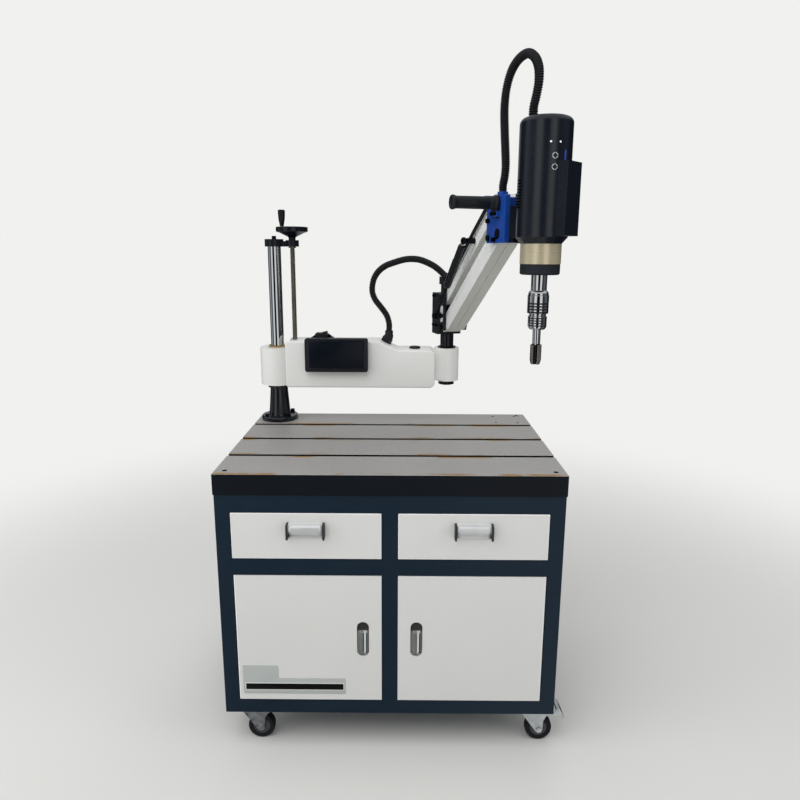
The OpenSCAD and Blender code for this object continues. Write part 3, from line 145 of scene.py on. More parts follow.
def surface(material, inputs):
    """Ends a material's tree with one principled surface that has these inputs."""
    body = add(material.node_tree, "BsdfPrincipled", inputs)
    add(material.node_tree, "OutputMaterial", {"Surface": body.outputs[0]})
    return material


bpy.context.scene.view_settings.view_transform = "Standard"
camera = bpy.data.cameras.new("view")
camera.lens, camera.sensor_width = lens_mm, 36.0
camera.shift_x, camera.shift_y = 0.00306, -0.02846
camera.clip_start, camera.clip_end = 0.05, 60.0
seen_from = placed("view", camera)
seen_from.location = view_from
seen_from.rotation_mode = "XYZ"
seen_from.rotation_euler = view_turn
bpy.context.scene.camera = seen_from

for name, place, turn, width, power in (
        ("lamp_over", (-0.7, -1.6, 3.3), (28, -10, 0), 2.6, 52.0),
        ("lamp_right", (2.6, -1.2, 2.1), (62, 0, 64), 1.6, 16.0),
        ("lamp_left", (-2.7, -1.0, 1.9), (64, 0, -66), 1.6, 20.0),
        ("lamp_behind", (0.4, 2.4, 2.7), (-52, 0, 0), 2.2, 20.0)):
    lamp = bpy.data.lights.new(name, "AREA")
    lamp.size, lamp.energy, lamp.color = width, power, (1.0, 0.995, 0.985)
    hung = placed(name, lamp)
    hung.location, hung.rotation_euler = place, [math.radians(t) for t in turn]
    hung.visible_glossy = False

world = bpy.context.scene.world or bpy.data.worlds.new("room")
bpy.context.scene.world = world
world.use_nodes = True
sky = world.node_tree
sky.nodes.clear()
path = add(sky, "LightPath")
shown = calc(sky, "MAXIMUM", path.outputs["Is Camera Ray"], path.outputs["Is Transmission Ray"])
lit = add(sky, "Background", {"Color": tone("#f4f5f7"), "Strength": 0.52})
seen = add(sky, "Background", {"Color": tone(pale), "Strength": 1.0})
# polished metal sees a room: dark walls at the sides, two pale strips in front, and a pale ceiling
way = add(sky, "TexCoord")
parts = add(sky, "SeparateXYZ", {"Vector": way.outputs["Generated"]})
ahead = calc(sky, "MULTIPLY", parts.outputs["Y"], -1.0)
bearing = calc(sky, "ARCTAN2", parts.outputs["X"], ahead)
round_room = remap(sky, bearing, -math.pi, math.pi)
band = add(sky, "ValToRGB", {"Fac": round_room})
band.color_ramp.elements[0].position, band.color_ramp.elements[0].color = 0.06, tone("#c9cbce")
band.color_ramp.elements[1].position, band.color_ramp.elements[1].color = 0.94, tone("#c9cbce")
for at, code in ((0.09, "#1c1e21"), (0.18, "#15171a"), (0.22, "#c6c9cc"), (0.29, "#6d7175"),
                 (0.345, "#5b5f64"), (0.362, "#ffffff"), (0.422, "#ffffff"), (0.436, "#0f1113"),
                 (0.512, "#15171a"), (0.526, "#ffffff"), (0.586, "#ffffff"), (0.602, "#15171a"),
                 (0.64, "#43474c"), (0.74, "#6e7277"), (0.79, "#191b1e"), (0.91, "#131518")):
    e = band.color_ramp.elements.new(at)
    e.color = tone(code)
rise = remap(sky, parts.outputs["Z"], 0.30, 0.62)
room = mix(sky, rise, band.outputs["Color"], tone("#d9dbde"))
mirror_room = add(sky, "Background", {"Color": room, "Strength": 0.85})
first = add(sky, "MixShader", {0: path.outputs["Is Glossy Ray"], 1: lit.outputs[0],
                               2: mirror_room.outputs[0]})
both = add(sky, "MixShader", {0: shown, 1: first.outputs[0], 2: seen.outputs[0]})
add(sky, "OutputWorld", {"Surface": both.outputs[0]})

floor_mesh = bpy.data.meshes.new("floor")
floor_mesh.from_pydata([(-9, -9, 0), (9, -9, 0), (9, 9, 0), (-9, 9, 0)], [], [(0, 1, 2, 3)])
floor = placed("floor", floor_mesh)
floor.visible_glossy = False
ground, t = fresh("pale_floor")
spot = add(t, "TexCoord")
reach = add(t, "VectorMath", {0: spot.outputs["Object"]}, operation="LENGTH")
fade = add(t, "MapRange", {"Value": reach.outputs["Value"], "From Min": 0.9, "From Max": 3.2},
           interpolation_type="SMOOTHERSTEP")
near = add(t, "BsdfPrincipled", {"Base Color": tone("#dcdcd9"), "Roughness": 0.75})
far = add(t, "Emission", {"Color": tone(pale), "Strength": 1.0})
mixed = add(t, "MixShader", {0: fade.outputs[0], 1: near.outputs[0], 2: far.outputs[0]})
add(t, "OutputMaterial", {"Surface": mixed.outputs[0]})
floor_mesh.materials.append(ground)

# ---------------------------------------------------------------- the two ribbed hoses
# Black corrugated nylon conduit, blown in a mould: round ribs every 5 mm on a 15 mm bore.
# One goes from the arm's cover to the elbow, the other from the blue plates to the hood's crown.
rib_mm, crest_mm, valley_mm = 5.0, 10.5, 8.7
lower_start, lower_yaw = (-33.0, 297.0), -25.1
lower_route = [[0, 1099], [0, 1120], [-9, 1147], [-30, 1173], [-50, 1195], [-61, 1219], [-61, 1243],
               [-54, 1267], [-39, 1288], [-14, 1306], [20, 1318], [55, 1327], [83, 1329], [110, 1326],
               [141, 1315], [165, 1302], [191, 1281]]
upper_start, upper_yaw = (252.69, -156.18), -66.2
upper_route = [[0, 1494.3], [0, 1510.3], [6, 1530.3], [8, 1556.3], [4, 1591.3], [-2, 1637.3], [-6, 1682.3],
               [-1, 1725.3], [17, 1760.3], [45, 1779.3], [80, 1783.3], [108, 1768.3], [124, 1744.3],
               [127, 1716.3], [121, 1690.3], [113, 1668.3], [111.5, 1655.3], [111.5, 1643.3]]


def smooth_route(points, step):
    """A Catmull-Rom curve through the points, its end points doubled, taken again at equal steps along its
    length."""
    p = np.array(points, float)
    p = np.vstack([p[:1], p, p[-1:]])
    u = np.linspace(0, 1, 40, endpoint=False)[:, None]
    a, b, c, d = (p[i:len(p) - 3 + i, None, :] for i in range(4))
    fine = 0.5 * (2 * b + (c - a) * u + (2 * a - 5 * b + 4 * c - d) * u ** 2
                  + (3 * b - a - 3 * c + d) * u ** 3)
    fine = np.vstack([fine.reshape(-1, p.shape[1]), p[-1:]])
    s = np.concatenate([[0], np.cumsum(np.linalg.norm(np.diff(fine, axis=0), axis=1))])
    at = np.linspace(0, s[-1], max(3, int(round(s[-1] / step)) + 1))
    return np.stack([np.interp(at, s, fine[:, k]) for k in range(p.shape[1])], axis=1), at


def skin(name, grid, close_u=False, close_v=True, caps=False):
    """A mesh from a grid of points: each cell of rows u and columns v is one quad; v closes round a tube, and
    caps shut its two ends."""
    n, m = grid.shape[:2]
    i = np.arange(n if close_u else n - 1)[:, None]
    j = np.arange(m if close_v else m - 1)[None, :]
    quads = np.stack([i * m + j, i * m + (j + 1) % m, (i + 1) % n * m + (j + 1) % m, (i + 1) % n * m + j],
                     axis=-1)
    faces = quads.reshape(-1, 4).tolist()
    if caps:
        faces += [list(range(m))[::-1], list(range((n - 1) * m, n * m))]
    mesh = bpy.data.meshes.new(name)
    mesh.from_pydata(grid.reshape(-1, 3).tolist(), [], faces)
    shape = bmesh.new()
    shape.from_mesh(mesh)
    bmesh.ops.remove_doubles(shape, verts=shape.verts, dist=1e-6)
    bmesh.ops.recalc_face_normals(shape, faces=shape.faces)
    shape.to_mesh(mesh)
    shape.free()
    mesh.shade_smooth()
    return placed(name, mesh)


def upright(route, start, yaw):
    """Points (distance, height) in an upright plane become metres: start plus the distance turned by yaw, and
    the height."""
    y = math.radians(yaw)
    return np.stack([start[0] + route[:, 0] * math.cos(y), start[1] + route[:, 0] * math.sin(y), route[:, 1]],
                    axis=1) / 1000


def corrugated(name, route, start, yaw, crest, valley, pitch):
    """A tube round a plane curve: its radius is valley plus the rib's height times a flattened cosine of the
    length over the pitch."""
    line, along = smooth_route(route, pitch / 8)
    centre = upright(line, start, yaw)
    ahead = np.gradient(centre, axis=0)
    ahead /= np.linalg.norm(ahead, axis=1)[:, None]
    flat = np.array([-math.sin(math.radians(yaw)), math.cos(math.radians(yaw)), 0.0])
    side = np.cross(ahead, flat)
    height = np.clip(0.5 + 0.78 * np.cos(2 * np.pi * along / pitch), 0, 1)
    height[(along < pitch) | (along > along[-1] - pitch)] *= 0.6
    radius = (valley + (crest - valley) * height) / 1000
    turn = np.linspace(0, 2 * np.pi, 24, endpoint=False)
    c, s = (wave[None, :, None] for wave in (np.cos(turn), np.sin(turn)))
    grid = centre[:, None] + radius[:, None, None] * (c * side[:, None] + s * flat)
    made = skin(name, grid, caps=True)
    ribs = made.data.attributes.new("rib", "FLOAT", "POINT")
    ribs.data.foreach_set("value", np.repeat(height, 24).astype(np.float32)[:len(made.data.vertices)])
    return made, centre, along[-1] / 1000


def black_nylon():
    """Blow-moulded nylon: near black, the colour lighter on the rib crests as a painted sheen and darker
    between the ribs as painted shade, with random blotches of a dusty tone over both."""
    m, t = fresh("black_nylon_conduit")
    rib = add(t, "Attribute", attribute_name="rib").outputs["Fac"]
    where = add(t, "TexCoord").outputs["Object"]
    blotch = noise(t, where, 45.0, 3.0)
    # painted sheen on the crests and painted shade between the ribs: the colour follows the rib height
    base = mix(t, rib, tone("#060708"), tone("#17191c"))
    rib_sheen_and_dust = mix(t, blotch, base, tone("#121315"))
    rough = remap(t, blotch, 0.0, 1.0, 0.40, 0.55)
    fine = noise(t, where, 900.0)
    bump = dent(t, fine, 0.08, 0.0004)
    return surface(m, {"Base Color": rib_sheen_and_dust, "Roughness": rough, "Normal": bump, "IOR": 1.53,
                       "Specular IOR Level": 0.35})


nylon = black_nylon()


def hang(name, node, run, sizes):
    made, line, length = corrugated(name, *run, *sizes)
    finish(made, nylon, node=node)
    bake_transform(made)


hose_sizes = (crest_mm, valley_mm, rib_mm)
hang("lower_hose_tube", "lower_hose", (lower_route, lower_start, lower_yaw), hose_sizes)
hang("upper_hose_tube", "upper_hose", (upper_route, upper_start, upper_yaw), hose_sizes)

# ---------------------------------------------------------------- the thin conduit along the upper arm
# A 10 mm plastic-coated metal conduit with a fine spiral, clipped beside the upper link.
# Its lower end leaves the elbow's junction block, its upper end enters the blue plates' block.
post_x, post_y, arm_turn = 157.0, 290.0, math.radians(-74)
link_from, link_long, beam_z, link_z = 45, 450, 1117, 1207
anchor_a, anchor_z, stud_along = 62, 1155, 291
conduit_side = -34.0
conduit_route = [[78, 1268], [95, 1268], [115, 1276], [140, 1293], [200, 1340], [275, 1397], [340, 1443],
                 [375, 1467], [390, 1471]]


def on_arm(a, side, z):
    """The arm's own place in metres: a along the arm from the elbow post, side to its left when negative, and
    the height."""
    a, side, z = np.broadcast_arrays(np.asarray(a, float), np.asarray(side, float), np.asarray(z, float))
    c, s = math.cos(arm_turn), math.sin(arm_turn)
    return np.stack([post_x + a * c - side * s, post_y + a * s + side * c, z], axis=-1) / 1000


spot = on_arm(0, conduit_side, 0) * 1000
halves = ((conduit_route[:6], "elbow", "upper_link"), (conduit_route[5:], "upper_link", "head_bracket"))
for k, (route, first_body, last_body) in enumerate(halves):
    hang(f"arm_conduit_{k + 1}", "conduit", (route, spot[:2], math.degrees(arm_turn)), (5.0, 4.3, 3.2))

# ---------------------------------------------------------------- the cabinet
# Folded and welded sheet steel under a smooth dark blue-grey powder coat, slightly glossy,
# with softly rounded folds where the light catches the edges.
bodies = frame["record"]["behaviour"]["bodies"]
body_of = {node: body for body, nodes in bodies.items() for node in nodes}


def softened(node, width, coat, angle=35):
    """A copy of a CAD solid: its doubles merged, its flat faces rejoined, and each edge sharper than the
    angle rounded by width in mm."""
    mesh = frame["nodes"][node].data.copy()
    mesh.name = node + "_finished"
    shape = bmesh.new()
    shape.from_mesh(mesh)
    bmesh.ops.remove_doubles(shape, verts=shape.verts, dist=2e-5)
    bmesh.ops.dissolve_limit(shape, angle_limit=math.radians(0.6), verts=shape.verts, edges=shape.edges)
    sharp = [e for e in shape.edges if len(e.link_faces) == 2 and e.calc_face_angle(0) > math.radians(angle)]
    bmesh.ops.bevel(shape, geom=sharp, offset=width / 1000, segments=2, profile=0.5, affect="EDGES",
                    clamp_overlap=True)
    bmesh.ops.dissolve_degenerate(shape, edges=shape.edges, dist=1e-6)
    shape.to_mesh(mesh)
    shape.free()
    mesh.materials.clear()
    mesh.shade_smooth()
    made = placed(mesh.name, mesh)
    even = made.modifiers.new("even_light", "WEIGHTED_NORMAL")
    even.weight, even.keep_sharp = 100, True
    return finish(made, coat, body_of[node], node, sharp=28)


def powder_coat(name, low, high, rough, grain_mm=1.6, dimple=0.12, coat=0.0, edge_wear_and_highlight=None, shine=0.5):
    """Baked powder coat: two near tones in broad clouds, an orange-peel surface of the grain's size, and,
    when a paler edge tone is given, paler edges that are partly rubbed wear and partly a painted highlight."""
    m, t = fresh(name)
    where = add(t, "TexCoord").outputs["Object"]
    cloud = noise(t, where, 3.5, 4.0, 0.6)
    colour = mix(t, cloud, tone(low), tone(high))
    peel = noise(t, where, 1000 / grain_mm / 2, 2.0)
    bump = dent(t, peel, dimple, 0.0006)
    smear = noise(t, where, 14.0, 5.0)
    sheen = remap(t, smear, 0.3, 0.7, rough * 0.85, rough * 1.15)
    # paler edges found from the bevel normal and broken up by noise: partly rubbed wear, partly a painted
    # highlight where rounded edges catch light
    if edge_wear_and_highlight:
        round_edge = add(t, "Bevel", {"Radius": 0.0016}, samples=4)
        face = add(t, "NewGeometry")
        meet = add(t, "VectorMath", {0: round_edge.outputs[0], 1: face.outputs["Normal"]},
                   operation="DOT_PRODUCT")
        rubbed_and_lit_edge = remap(t, meet.outputs["Value"], 0.995, 0.93, 0.0, 0.75)
        patch = calc(t, "MULTIPLY", rubbed_and_lit_edge, smear)
        colour = mix(t, patch, colour, tone(edge_wear_and_highlight))
    return surface(m, {"Base Color": colour, "Roughness": sheen, "Normal": bump, "Coat Weight": coat,
                       "Specular IOR Level": shine, "Coat Roughness": 0.12})


# the paler edge tone #26384a is partly rubbed wear and partly a painted highlight along the cabinet's edges
cabinet_coat = powder_coat("dark_blue_grey_powder_coat", "#0f1f2d", "#142736", 0.40, 1.8, 0.10, 0.0,
                           "#26384a", 0.22)
softened("cabinet_shell", 1.2, cabinet_coat)

# ---------------------------------------------------------------- the bench top
# A cast-iron plate: its sides painted near black, its face ground grey with long fine scratches,
# rust-brown oil marks beside the T-slots, and its front chamfer painted near white as a painted highlight.
def cast_top():
    """Cast iron: painted black except where the face looks up at the top; there it is ground, with streaks
    along X and stains at the slots."""
    m, t = fresh("ground_cast_iron")
    where = add(t, "TexCoord").outputs["Object"]
    place = add(t, "SeparateXYZ", {"Vector": where})
    face = add(t, "NewGeometry")
    up = add(t, "SeparateXYZ", {"Vector": face.outputs["Normal"]})
    flat = remap(t, up.outputs["Z"], 0.25, 0.6)
    high = remap(t, place.outputs["Z"], 0.7975, 0.7990)
    bare = calc(t, "MULTIPLY", flat, high)
    stretch = add(t, "Mapping", {"Vector": where, "Scale": (6.0, 160.0, 6.0)})
    streak = noise(t, stretch.outputs[0], 4.0, 6.0, 0.7)
    cross = add(t, "Mapping", {"Vector": where, "Scale": (3.0, 9.0, 3.0)})
    patch = noise(t, cross.outputs[0], 1.6, 5.0)
    pore = noise(t, where, 300.0, 5.0)
    grind = add(t, "ValToRGB", {"Fac": streak})
    grind.color_ramp.elements[0].position, grind.color_ramp.elements[0].color = 0.3, tone("#858482")
    grind.color_ramp.elements[1].position, grind.color_ramp.elements[1].color = 0.72, tone("#aaa8a5")
    cloudy = mix(t, patch, grind.outputs["Color"], tone("#949290"))
    pitted = remap(t, pore, 0.32, 0.46, 0.62, 1.0)
    grey = mix(t, 1.0, cloudy, pitted, "MULTIPLY")
    # amber oil marks: strips a few millimetres wide along the edges of each slot, broken up by noise
    lane = place.outputs["Y"]
    for operation, value in (("ADD", 0.098), ("DIVIDE", 0.155), ("ADD", 0.5), ("FRACT", 0.0),
                             ("SUBTRACT", 0.5), ("ABSOLUTE", 0.0)):
        lane = calc(t, operation, lane, value)
    band = remap(t, lane, 0.120, 0.100)
    along = add(t, "Mapping", {"Vector": where, "Scale": (3.4, 9.0, 5.0), "Location": (0.62, 0.1, 0.0)})
    drip = noise(t, along.outputs[0], 1.5, 4.0)
    wet = remap(t, drip, 0.49, 0.56)
    mark = calc(t, "MULTIPLY", band, wet)
    mark = calc(t, "MULTIPLY", mark, 0.9)
    oiled = mix(t, mark, grey, tone("#8a6419"))
    paint = mix(t, patch, tone("#0c1016"), tone("#11161d"))
    colour = mix(t, bare, paint, oiled)
    rough = remap(t, streak, 0.0, 1.0, 0.34, 0.56)
    metal = calc(t, "MULTIPLY", bare, 0.05)
    shine = remap(t, bare, 0.0, 1.0, 0.16, 0.45)
    grain = calc(t, "ADD", streak, pore)
    bump = dent(t, grain, 0.25, 0.0004)
    return surface(m, {"Base Color": colour, "Metallic": metal, "Roughness": rough,
                       "Specular IOR Level": shine,
                       "Normal": bump})


# the front chamfer is painted near white: a painted highlight along the front edge
painted_edge_highlight = powder_coat("painted_highlight_front_edge", "#e2e1df", "#efefed", 0.4, 1.2, 0.10)
bench_top = softened("table_top", 2.2, [cast_top(), painted_edge_highlight])
choose(bench_top, lambda f: f.center.z > 0.798 and -0.95 < f.normal.y < -0.25)

# ---------------------------------------------------------------- the drawers and doors
# Folded steel fronts with a pale grey powder coat; their folds are rounded, and a near-white coat on the
# folds is a painted highlight line.
front_coat = powder_coat("pale_grey_powder_coat", "#d6d6d4", "#dcdcda", 0.50, 1.5, 0.06, 0.0, shine=0.3)
# near-white paint on the rounded folds: a painted highlight
painted_fold_highlight = powder_coat("painted_highlight_on_folds", "#fbfbfa", "#ffffff", 0.35, 1.5, 0.02, 0.0)
for node in ("drawer_left", "drawer_right", "door_left", "door_right"):
    front = softened(node, 3.0, [front_coat, painted_fold_highlight])
    choose(front, lambda f: -0.97 < f.normal.y < -0.2)

# ---------------------------------------------------------------- plain finishes of the small metal pieces
# Zinc-plated pressings, machined steel, blackened screws and bronze, each from its own real surface.
def metal(name, low, high, rough, grain=(1.0, 1.0, 1.0), scale=60.0, scratch=0.12, spangle=0.0, bare=1.0):
    """Bare or plated metal: two tones and a roughness spread by noise that is stretched along the direction
    it was worked in."""
    m, t = fresh(name)
    where = add(t, "TexCoord").outputs["Object"]
    drawn = add(t, "Mapping", {"Vector": where, "Scale": grain})
    lines = noise(t, drawn.outputs[0], scale, 5.0, 0.65)
    cloud = noise(t, where, 22.0, 3.0)
    mixed = mix(t, cloud, tone(low), tone(high))
    if spangle:
        cell = add(t, "TexVoronoi", {"Vector": where, "Scale": 260.0})
        glint = remap(t, cell.outputs["Color"], 0.0, 1.0, 1 - spangle, 1.0)
        mixed = mix(t, 1.0, mixed, glint, "MULTIPLY")
    sheen = remap(t, lines, 0.3, 0.7, rough * 0.75, rough * 1.3)
    bump = dent(t, lines, scratch, 0.0003)
    return surface(m, {"Base Color": mixed, "Roughness": sheen, "Normal": bump, "Metallic": bare})


zinc = metal("bright_zinc_plate", "#c3c9c9", "#dfe3e3", 0.34, scale=70.0, spangle=0.2)
black_oxide = metal("black_oxide_steel", "#17191c", "#25282c", 0.42, scale=120.0)
for node in ("drawer_runners", "door_hinge_pins"):
    softened(node, 0.4, zinc)
softened("fixing_screws", 0.5, black_oxide)

# ---------------------------------------------------------------- the drawer pulls
# A zinc die-cast cup pull: a bright bar with a rolled lip held between two dark end caps over a recess.
pull_steel = metal("brushed_die_cast", "#d8dada", "#e8e9e9", 0.36, grain=(1.0, 30.0, 30.0), scale=30.0,
                   bare=0.45)
recess_black = powder_coat("dark_pull_recess", "#2a2c2e", "#36383a", 0.5, shine=0.3)


def squarish(wave, power):
    """A sine or cosine raised to a power with its sign kept: a low power squares the circle it draws, a high
    one points it."""
    return np.sign(wave) * np.abs(wave) ** power


def as_sheet(piece, thick):
    """Gives an open skin its thickness in metres, half to each side."""
    wall = piece.modifiers.new("sheet", "SOLIDIFY")
    wall.thickness, wall.offset = thick, 0
    return piece


pull_rows = np.array([[-20.5, 1.0], [-20.5, -3.0], [-17.5, -4.6], [-12.0, -4.2], [-8.0, -8.0], [-4.0, -13.5],
                      [2.0, -17.5], [9.0, -19.0], [15.0, -17.5], [19.0, -12.0], [20.5, -4.0], [20.5, 1.0]])
for hand, node in (("left", "drawer_pull_left"), ("right", "drawer_pull_right")):
    low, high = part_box(node)
    mid = np.array([(low.x + high.x) / 2, high.y, (low.z + high.z) / 2])
    fine, _ = smooth_route(pull_rows, 1.5)
    across = np.linspace(-43.5, 43.5, 12)
    grid = np.zeros((len(across), len(fine), 3))
    grid[..., 0] = across[:, None]
    grid[..., 1] = fine[None, :, 1]
    grid[..., 2] = fine[None, :, 0]
    bar = as_sheet(skin(f"pull_bar_{hand}", grid / 1000 + mid, close_v=False), 0.0014)
    finish(bar, pull_steel, body_of[node], node)
    for end in (-1, 1):
        turn = np.linspace(0, 2 * np.pi, 40, endpoint=False)
        px, pz = 2.8 * squarish(np.cos(turn), 0.18), 20.4 * squarish(np.sin(turn), 0.18)
        depth = np.array([1.0, -16.0, -20.0, -21.6, -21.6])
        inset = np.array([1.0, 1.0, 0.93, 0.8, 0.0])
        cap = np.zeros((5, 40, 3))
        cap[..., 0] = end * 46.6 + px[None] * inset[:, None]
        cap[..., 1] = depth[:, None]
        wide = inset[:, None] > 0
        cap[..., 2] = pz[None] * (1 - (1 - inset[:, None]) * 0.3 * wide) * wide
        finish(skin(f"pull_cap_{hand}_{'a' if end < 0 else 'b'}", cap / 1000 + mid), recess_black,
               body_of[node])

# ---------------------------------------------------------------- the latch levers
# Chromed zinc swing levers standing in their oval pockets: a rounded bar with a well above it; the well is
# painted dark grey as painted shade, and the bar is chrome only in a painted highlight stripe, with darker
# satin zinc elsewhere as painted shade.
chrome = metal("polished_chrome", "#c4c8cb", "#dfe2e4", 0.09, grain=(40.0, 40.0, 1.0), scale=8.0,
               scratch=0.02)
painted_shade_well = powder_coat("painted_shade_latch_well", "#2b2d2b", "#3c3e3b", 0.5, shine=0.3)
painted_shade_lever = metal("painted_shade_lever_zinc", "#6f726d", "#8a8d88", 0.45, bare=0.5)
for hand, node in (("left", "latch_lever_left"), ("right", "latch_lever_right")):
    low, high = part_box(node)
    mid = np.array([(low.x + high.x) / 2, low.y, (low.z + high.z) / 2])
    t_side = np.linspace(-1, 1, 25)
    rows = np.linspace(-45.8, 49.0, 60)
    half = np.where(np.abs(rows) > 34.5, np.sqrt(np.clip(14.6 ** 2 - (np.abs(rows) - 34.5) ** 2, 0, None)),
                    14.6)
    half = np.where(rows < -38.5, np.minimum(half, 9.4), half)
    x = half[:, None] * t_side[None]
    up = rows[:, None]
    ridge = 4.2 * np.clip(1 - np.abs((x - 1.0) / 12.5) ** 2.2, 0, 1) * np.clip((up + 45.8) / 9, 0, 1)
    ridge = ridge * np.clip((24 - up) / 5, 0, 1) * (1 - 0.75 * (up > 24))
    hollow = 4.5 * np.clip((up - 20) / 6, 0, 1) * np.clip(1 - (x / 13.5) ** 6, 0, 1)
    grid = np.stack([x, 1.6 - ridge + hollow, np.broadcast_to(up, x.shape)], axis=-1)
    lever = as_sheet(skin(f"latch_bar_{hand}", grid / 1000 + mid, close_v=False), 0.0012)
    finish(lever, [chrome, painted_shade_lever, painted_shade_well], body_of[node], node)
    # chrome only on a stripe right of the ridge as a painted highlight; darker satin zinc on the rest of the
    # bar and dark grey in the well as painted shade
    choose(lever, lambda f: 2 if f.center.z > mid[2] + 0.0235 else not 0.0015 < f.center.x - mid[0] < 0.0095)

# ---------------------------------------------------------------- the castors
# Pressed and zinc-plated forks on a race, with black rubber tyres on grey hubs.
for node in ("caster_mounts", "caster_fork_left", "caster_fork_right", "brake_pedal"):
    softened(node, 0.6, zinc)


def turned(name, profile, sides, place, axis="Z", smooth_step=None):
    """A profile of (radius, height) carried round an axis: each point goes to radius times the cosine and
    sine of the turn, and its height."""
    p = np.array(profile, float)
    if smooth_step:
        p, _ = smooth_route(p, smooth_step)
    turn = np.linspace(0, 2 * np.pi, sides, endpoint=False)
    c, s = np.cos(turn), np.sin(turn)
    r, h = p[:, 0][:, None], np.broadcast_to(p[:, 1][:, None], (len(p), sides))
    grid = np.stack([r * c, r * s, h] if axis == "Z" else [r * c, h, r * s], axis=-1)
    return skin(name, grid / 1000 + np.array(place))


rubber = powder_coat("black_castor_rubber", "#0f1012", "#17181a", 0.62, 2.5, 0.18, shine=0.3)
hub_grey = powder_coat("grey_nylon_hub", "#3d4043", "#4b4e51", 0.5)
tyre = [[24, -9.5], [25.5, -11.5], [31, -12.5], [34.5, -11.8], [36.6, -9.0], [37.4, -4.5], [37.5, 0],
        [37.4, 4.5], [36.6, 9.0], [34.5, 11.8], [31, 12.5], [25.5, 11.5], [24, 9.5]]
hub = [[5.1, -14], [11, -14], [12.5, -12.5], [13.5, -9], [22, -8], [24.2, -9.6], [24.2, 9.6], [22, 8],
       [13.5, 9], [12.5, 12.5], [11, 14], [5.1, 14], [5.1, -14]]
for node in ("wheel_front_left", "wheel_front_right", "wheel_rear_left", "wheel_rear_right"):
    low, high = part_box(node)
    centre = ((low.x + high.x) / 2, (low.y + high.y) / 2, (low.z + high.z) / 2)
    ring = turned(node + "_tyre", tyre, 72, centre, "Y", 1.2)
    core = turned(node + "_hub", hub, 48, centre, "Y")
    finish(ring, rubber, body_of[node], node)
    finish(core, hub_grey, body_of[node], sharp=30)

# ---------------------------------------------------------------- the column
# A hard-chromed steel tube in a turned black foot, four socket screws holding it to the bench.
# the paler edge tone #1e2530 is partly rubbed wear and partly a painted edge highlight
black_paint = powder_coat("satin_black_enamel", "#090d14", "#0e131b", 0.34, 1.4, 0.06, 0.0, "#1e2530", 0.36)
foot_gloss = powder_coat("glossy_column_foot", "#080c13", "#0d1219", 0.20, 2.0, 0.02, 0.0, shine=0.7)
softened("column_base", 1.0, foot_gloss)
hard_chrome = metal("ground_hard_chrome", "#cccfd2", "#d8dadc", 0.06, scale=8.0, scratch=0.0)
low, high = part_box("column_tube")
col_r, col_at = (high.x - low.x) * 500, ((high.x + low.x) / 2, (high.y + low.y) / 2, 0)
tube = turned("column_turned", [[col_r - 6, low.z * 1000], [col_r - 0.6, low.z * 1000],
                                [col_r, low.z * 1000 + 0.6], [col_r, high.z * 1000 - 0.6],
                                [col_r - 0.6, high.z * 1000], [col_r - 6, high.z * 1000],
                                [col_r - 6, low.z * 1000]], 144, col_at)
finish(tube, hard_chrome, body_of["column_tube"], "column_tube", sharp=30)
softened("top_bracket", 2.0, black_paint)

# ---------------------------------------------------------------- the lead screw and its handwheel
# A rolled steel screw of 4 mm pitch, an enamelled iron handwheel, and a black turning grip.
screw_at = (-342.0, 290.0)
screw_place = (screw_at[0] / 1000, screw_at[1] / 1000, 0)
crank_place = ((screw_at[0] - 31.5) / 1000, screw_at[1] / 1000, 0)
rolled_steel = metal("oiled_rolled_steel", "#7a7266", "#a1998b", 0.30, scale=90.0)
rows = np.arange(934.0, 1362.0, 0.5)
turn = np.linspace(0, 2 * np.pi, 28, endpoint=False)
phase = (rows[:, None] / 4.0 - turn[None] / (2 * np.pi)) % 1.0
depth = np.clip((np.abs(phase - 0.5) - 0.17) / 0.10, 0, 1)
radius = 8.0 - 1.4 * depth
radius[(rows < 938) | (rows > 1358)] = 6.6
grid = np.stack([radius * np.cos(turn), radius * np.sin(turn), np.broadcast_to(rows[:, None], radius.shape)],
                axis=-1)
thread = skin("lead_screw_thread", (grid + np.array([*screw_at, 0])) / 1000, caps=True)
finish(thread, rolled_steel, "screw", "lead_screw", sharp=35)
shaft = turned("lead_screw_shaft", [[0, 1361], [7, 1361], [11.4, 1362.2], [12, 1362.8], [12, 1365.4],
                                    [8, 1365.8], [8, 1413], [7, 1414.2], [0, 1414.2]],
               40, screw_place)
finish(shaft, rolled_steel, "screw", sharp=30)
gloss_black = powder_coat("glossy_black_enamel", "#080b11", "#0c1118", 0.26, 2.0, 0.03, 0.0, shine=0.4)
wheel = turned("handwheel_turned", [[8.1, 1386.4], [10.6, 1386.4], [11.2, 1388.0], [11.2, 1393.0],
                                    [14.0, 1396.6], [28.0, 1403.4], [40.0, 1409.2], [46.5, 1411.0],
                                    [49.6, 1412.6], [50.4, 1415.0], [50.4, 1424.0], [49.6, 1426.2],
                                    [47.0, 1427.2], [43.4, 1427.0], [41.6, 1425.4], [40.0, 1421.0],
                                    [34.0, 1416.6], [20.0, 1412.6], [15.0, 1411.8], [13.2, 1413.8],
                                    [12.4, 1414.4], [8.1, 1414.4]],
               96, screw_place, smooth_step=1.2)
finish(wheel, gloss_black, "screw", "handwheel")
stud = turned("crank_stud", [[0, 1412], [5, 1412], [5, 1428], [4.9, 1468], [0, 1468]], 24, crank_place)
finish(stud, rolled_steel, "screw")
grip = turned("crank_grip", [[5.2, 1430.2], [6.3, 1430.2], [6.7, 1432.0], [7.4, 1437.0], [8.8, 1444.0],
                             [10.0, 1452.0], [10.8, 1462.0], [11.2, 1471.0], [11.2, 1475.5], [10.5, 1478.6],
                             [8.8, 1479.8], [4.0, 1480.0], [0, 1480.0]],
              48, crank_place, smooth_step=1.0)
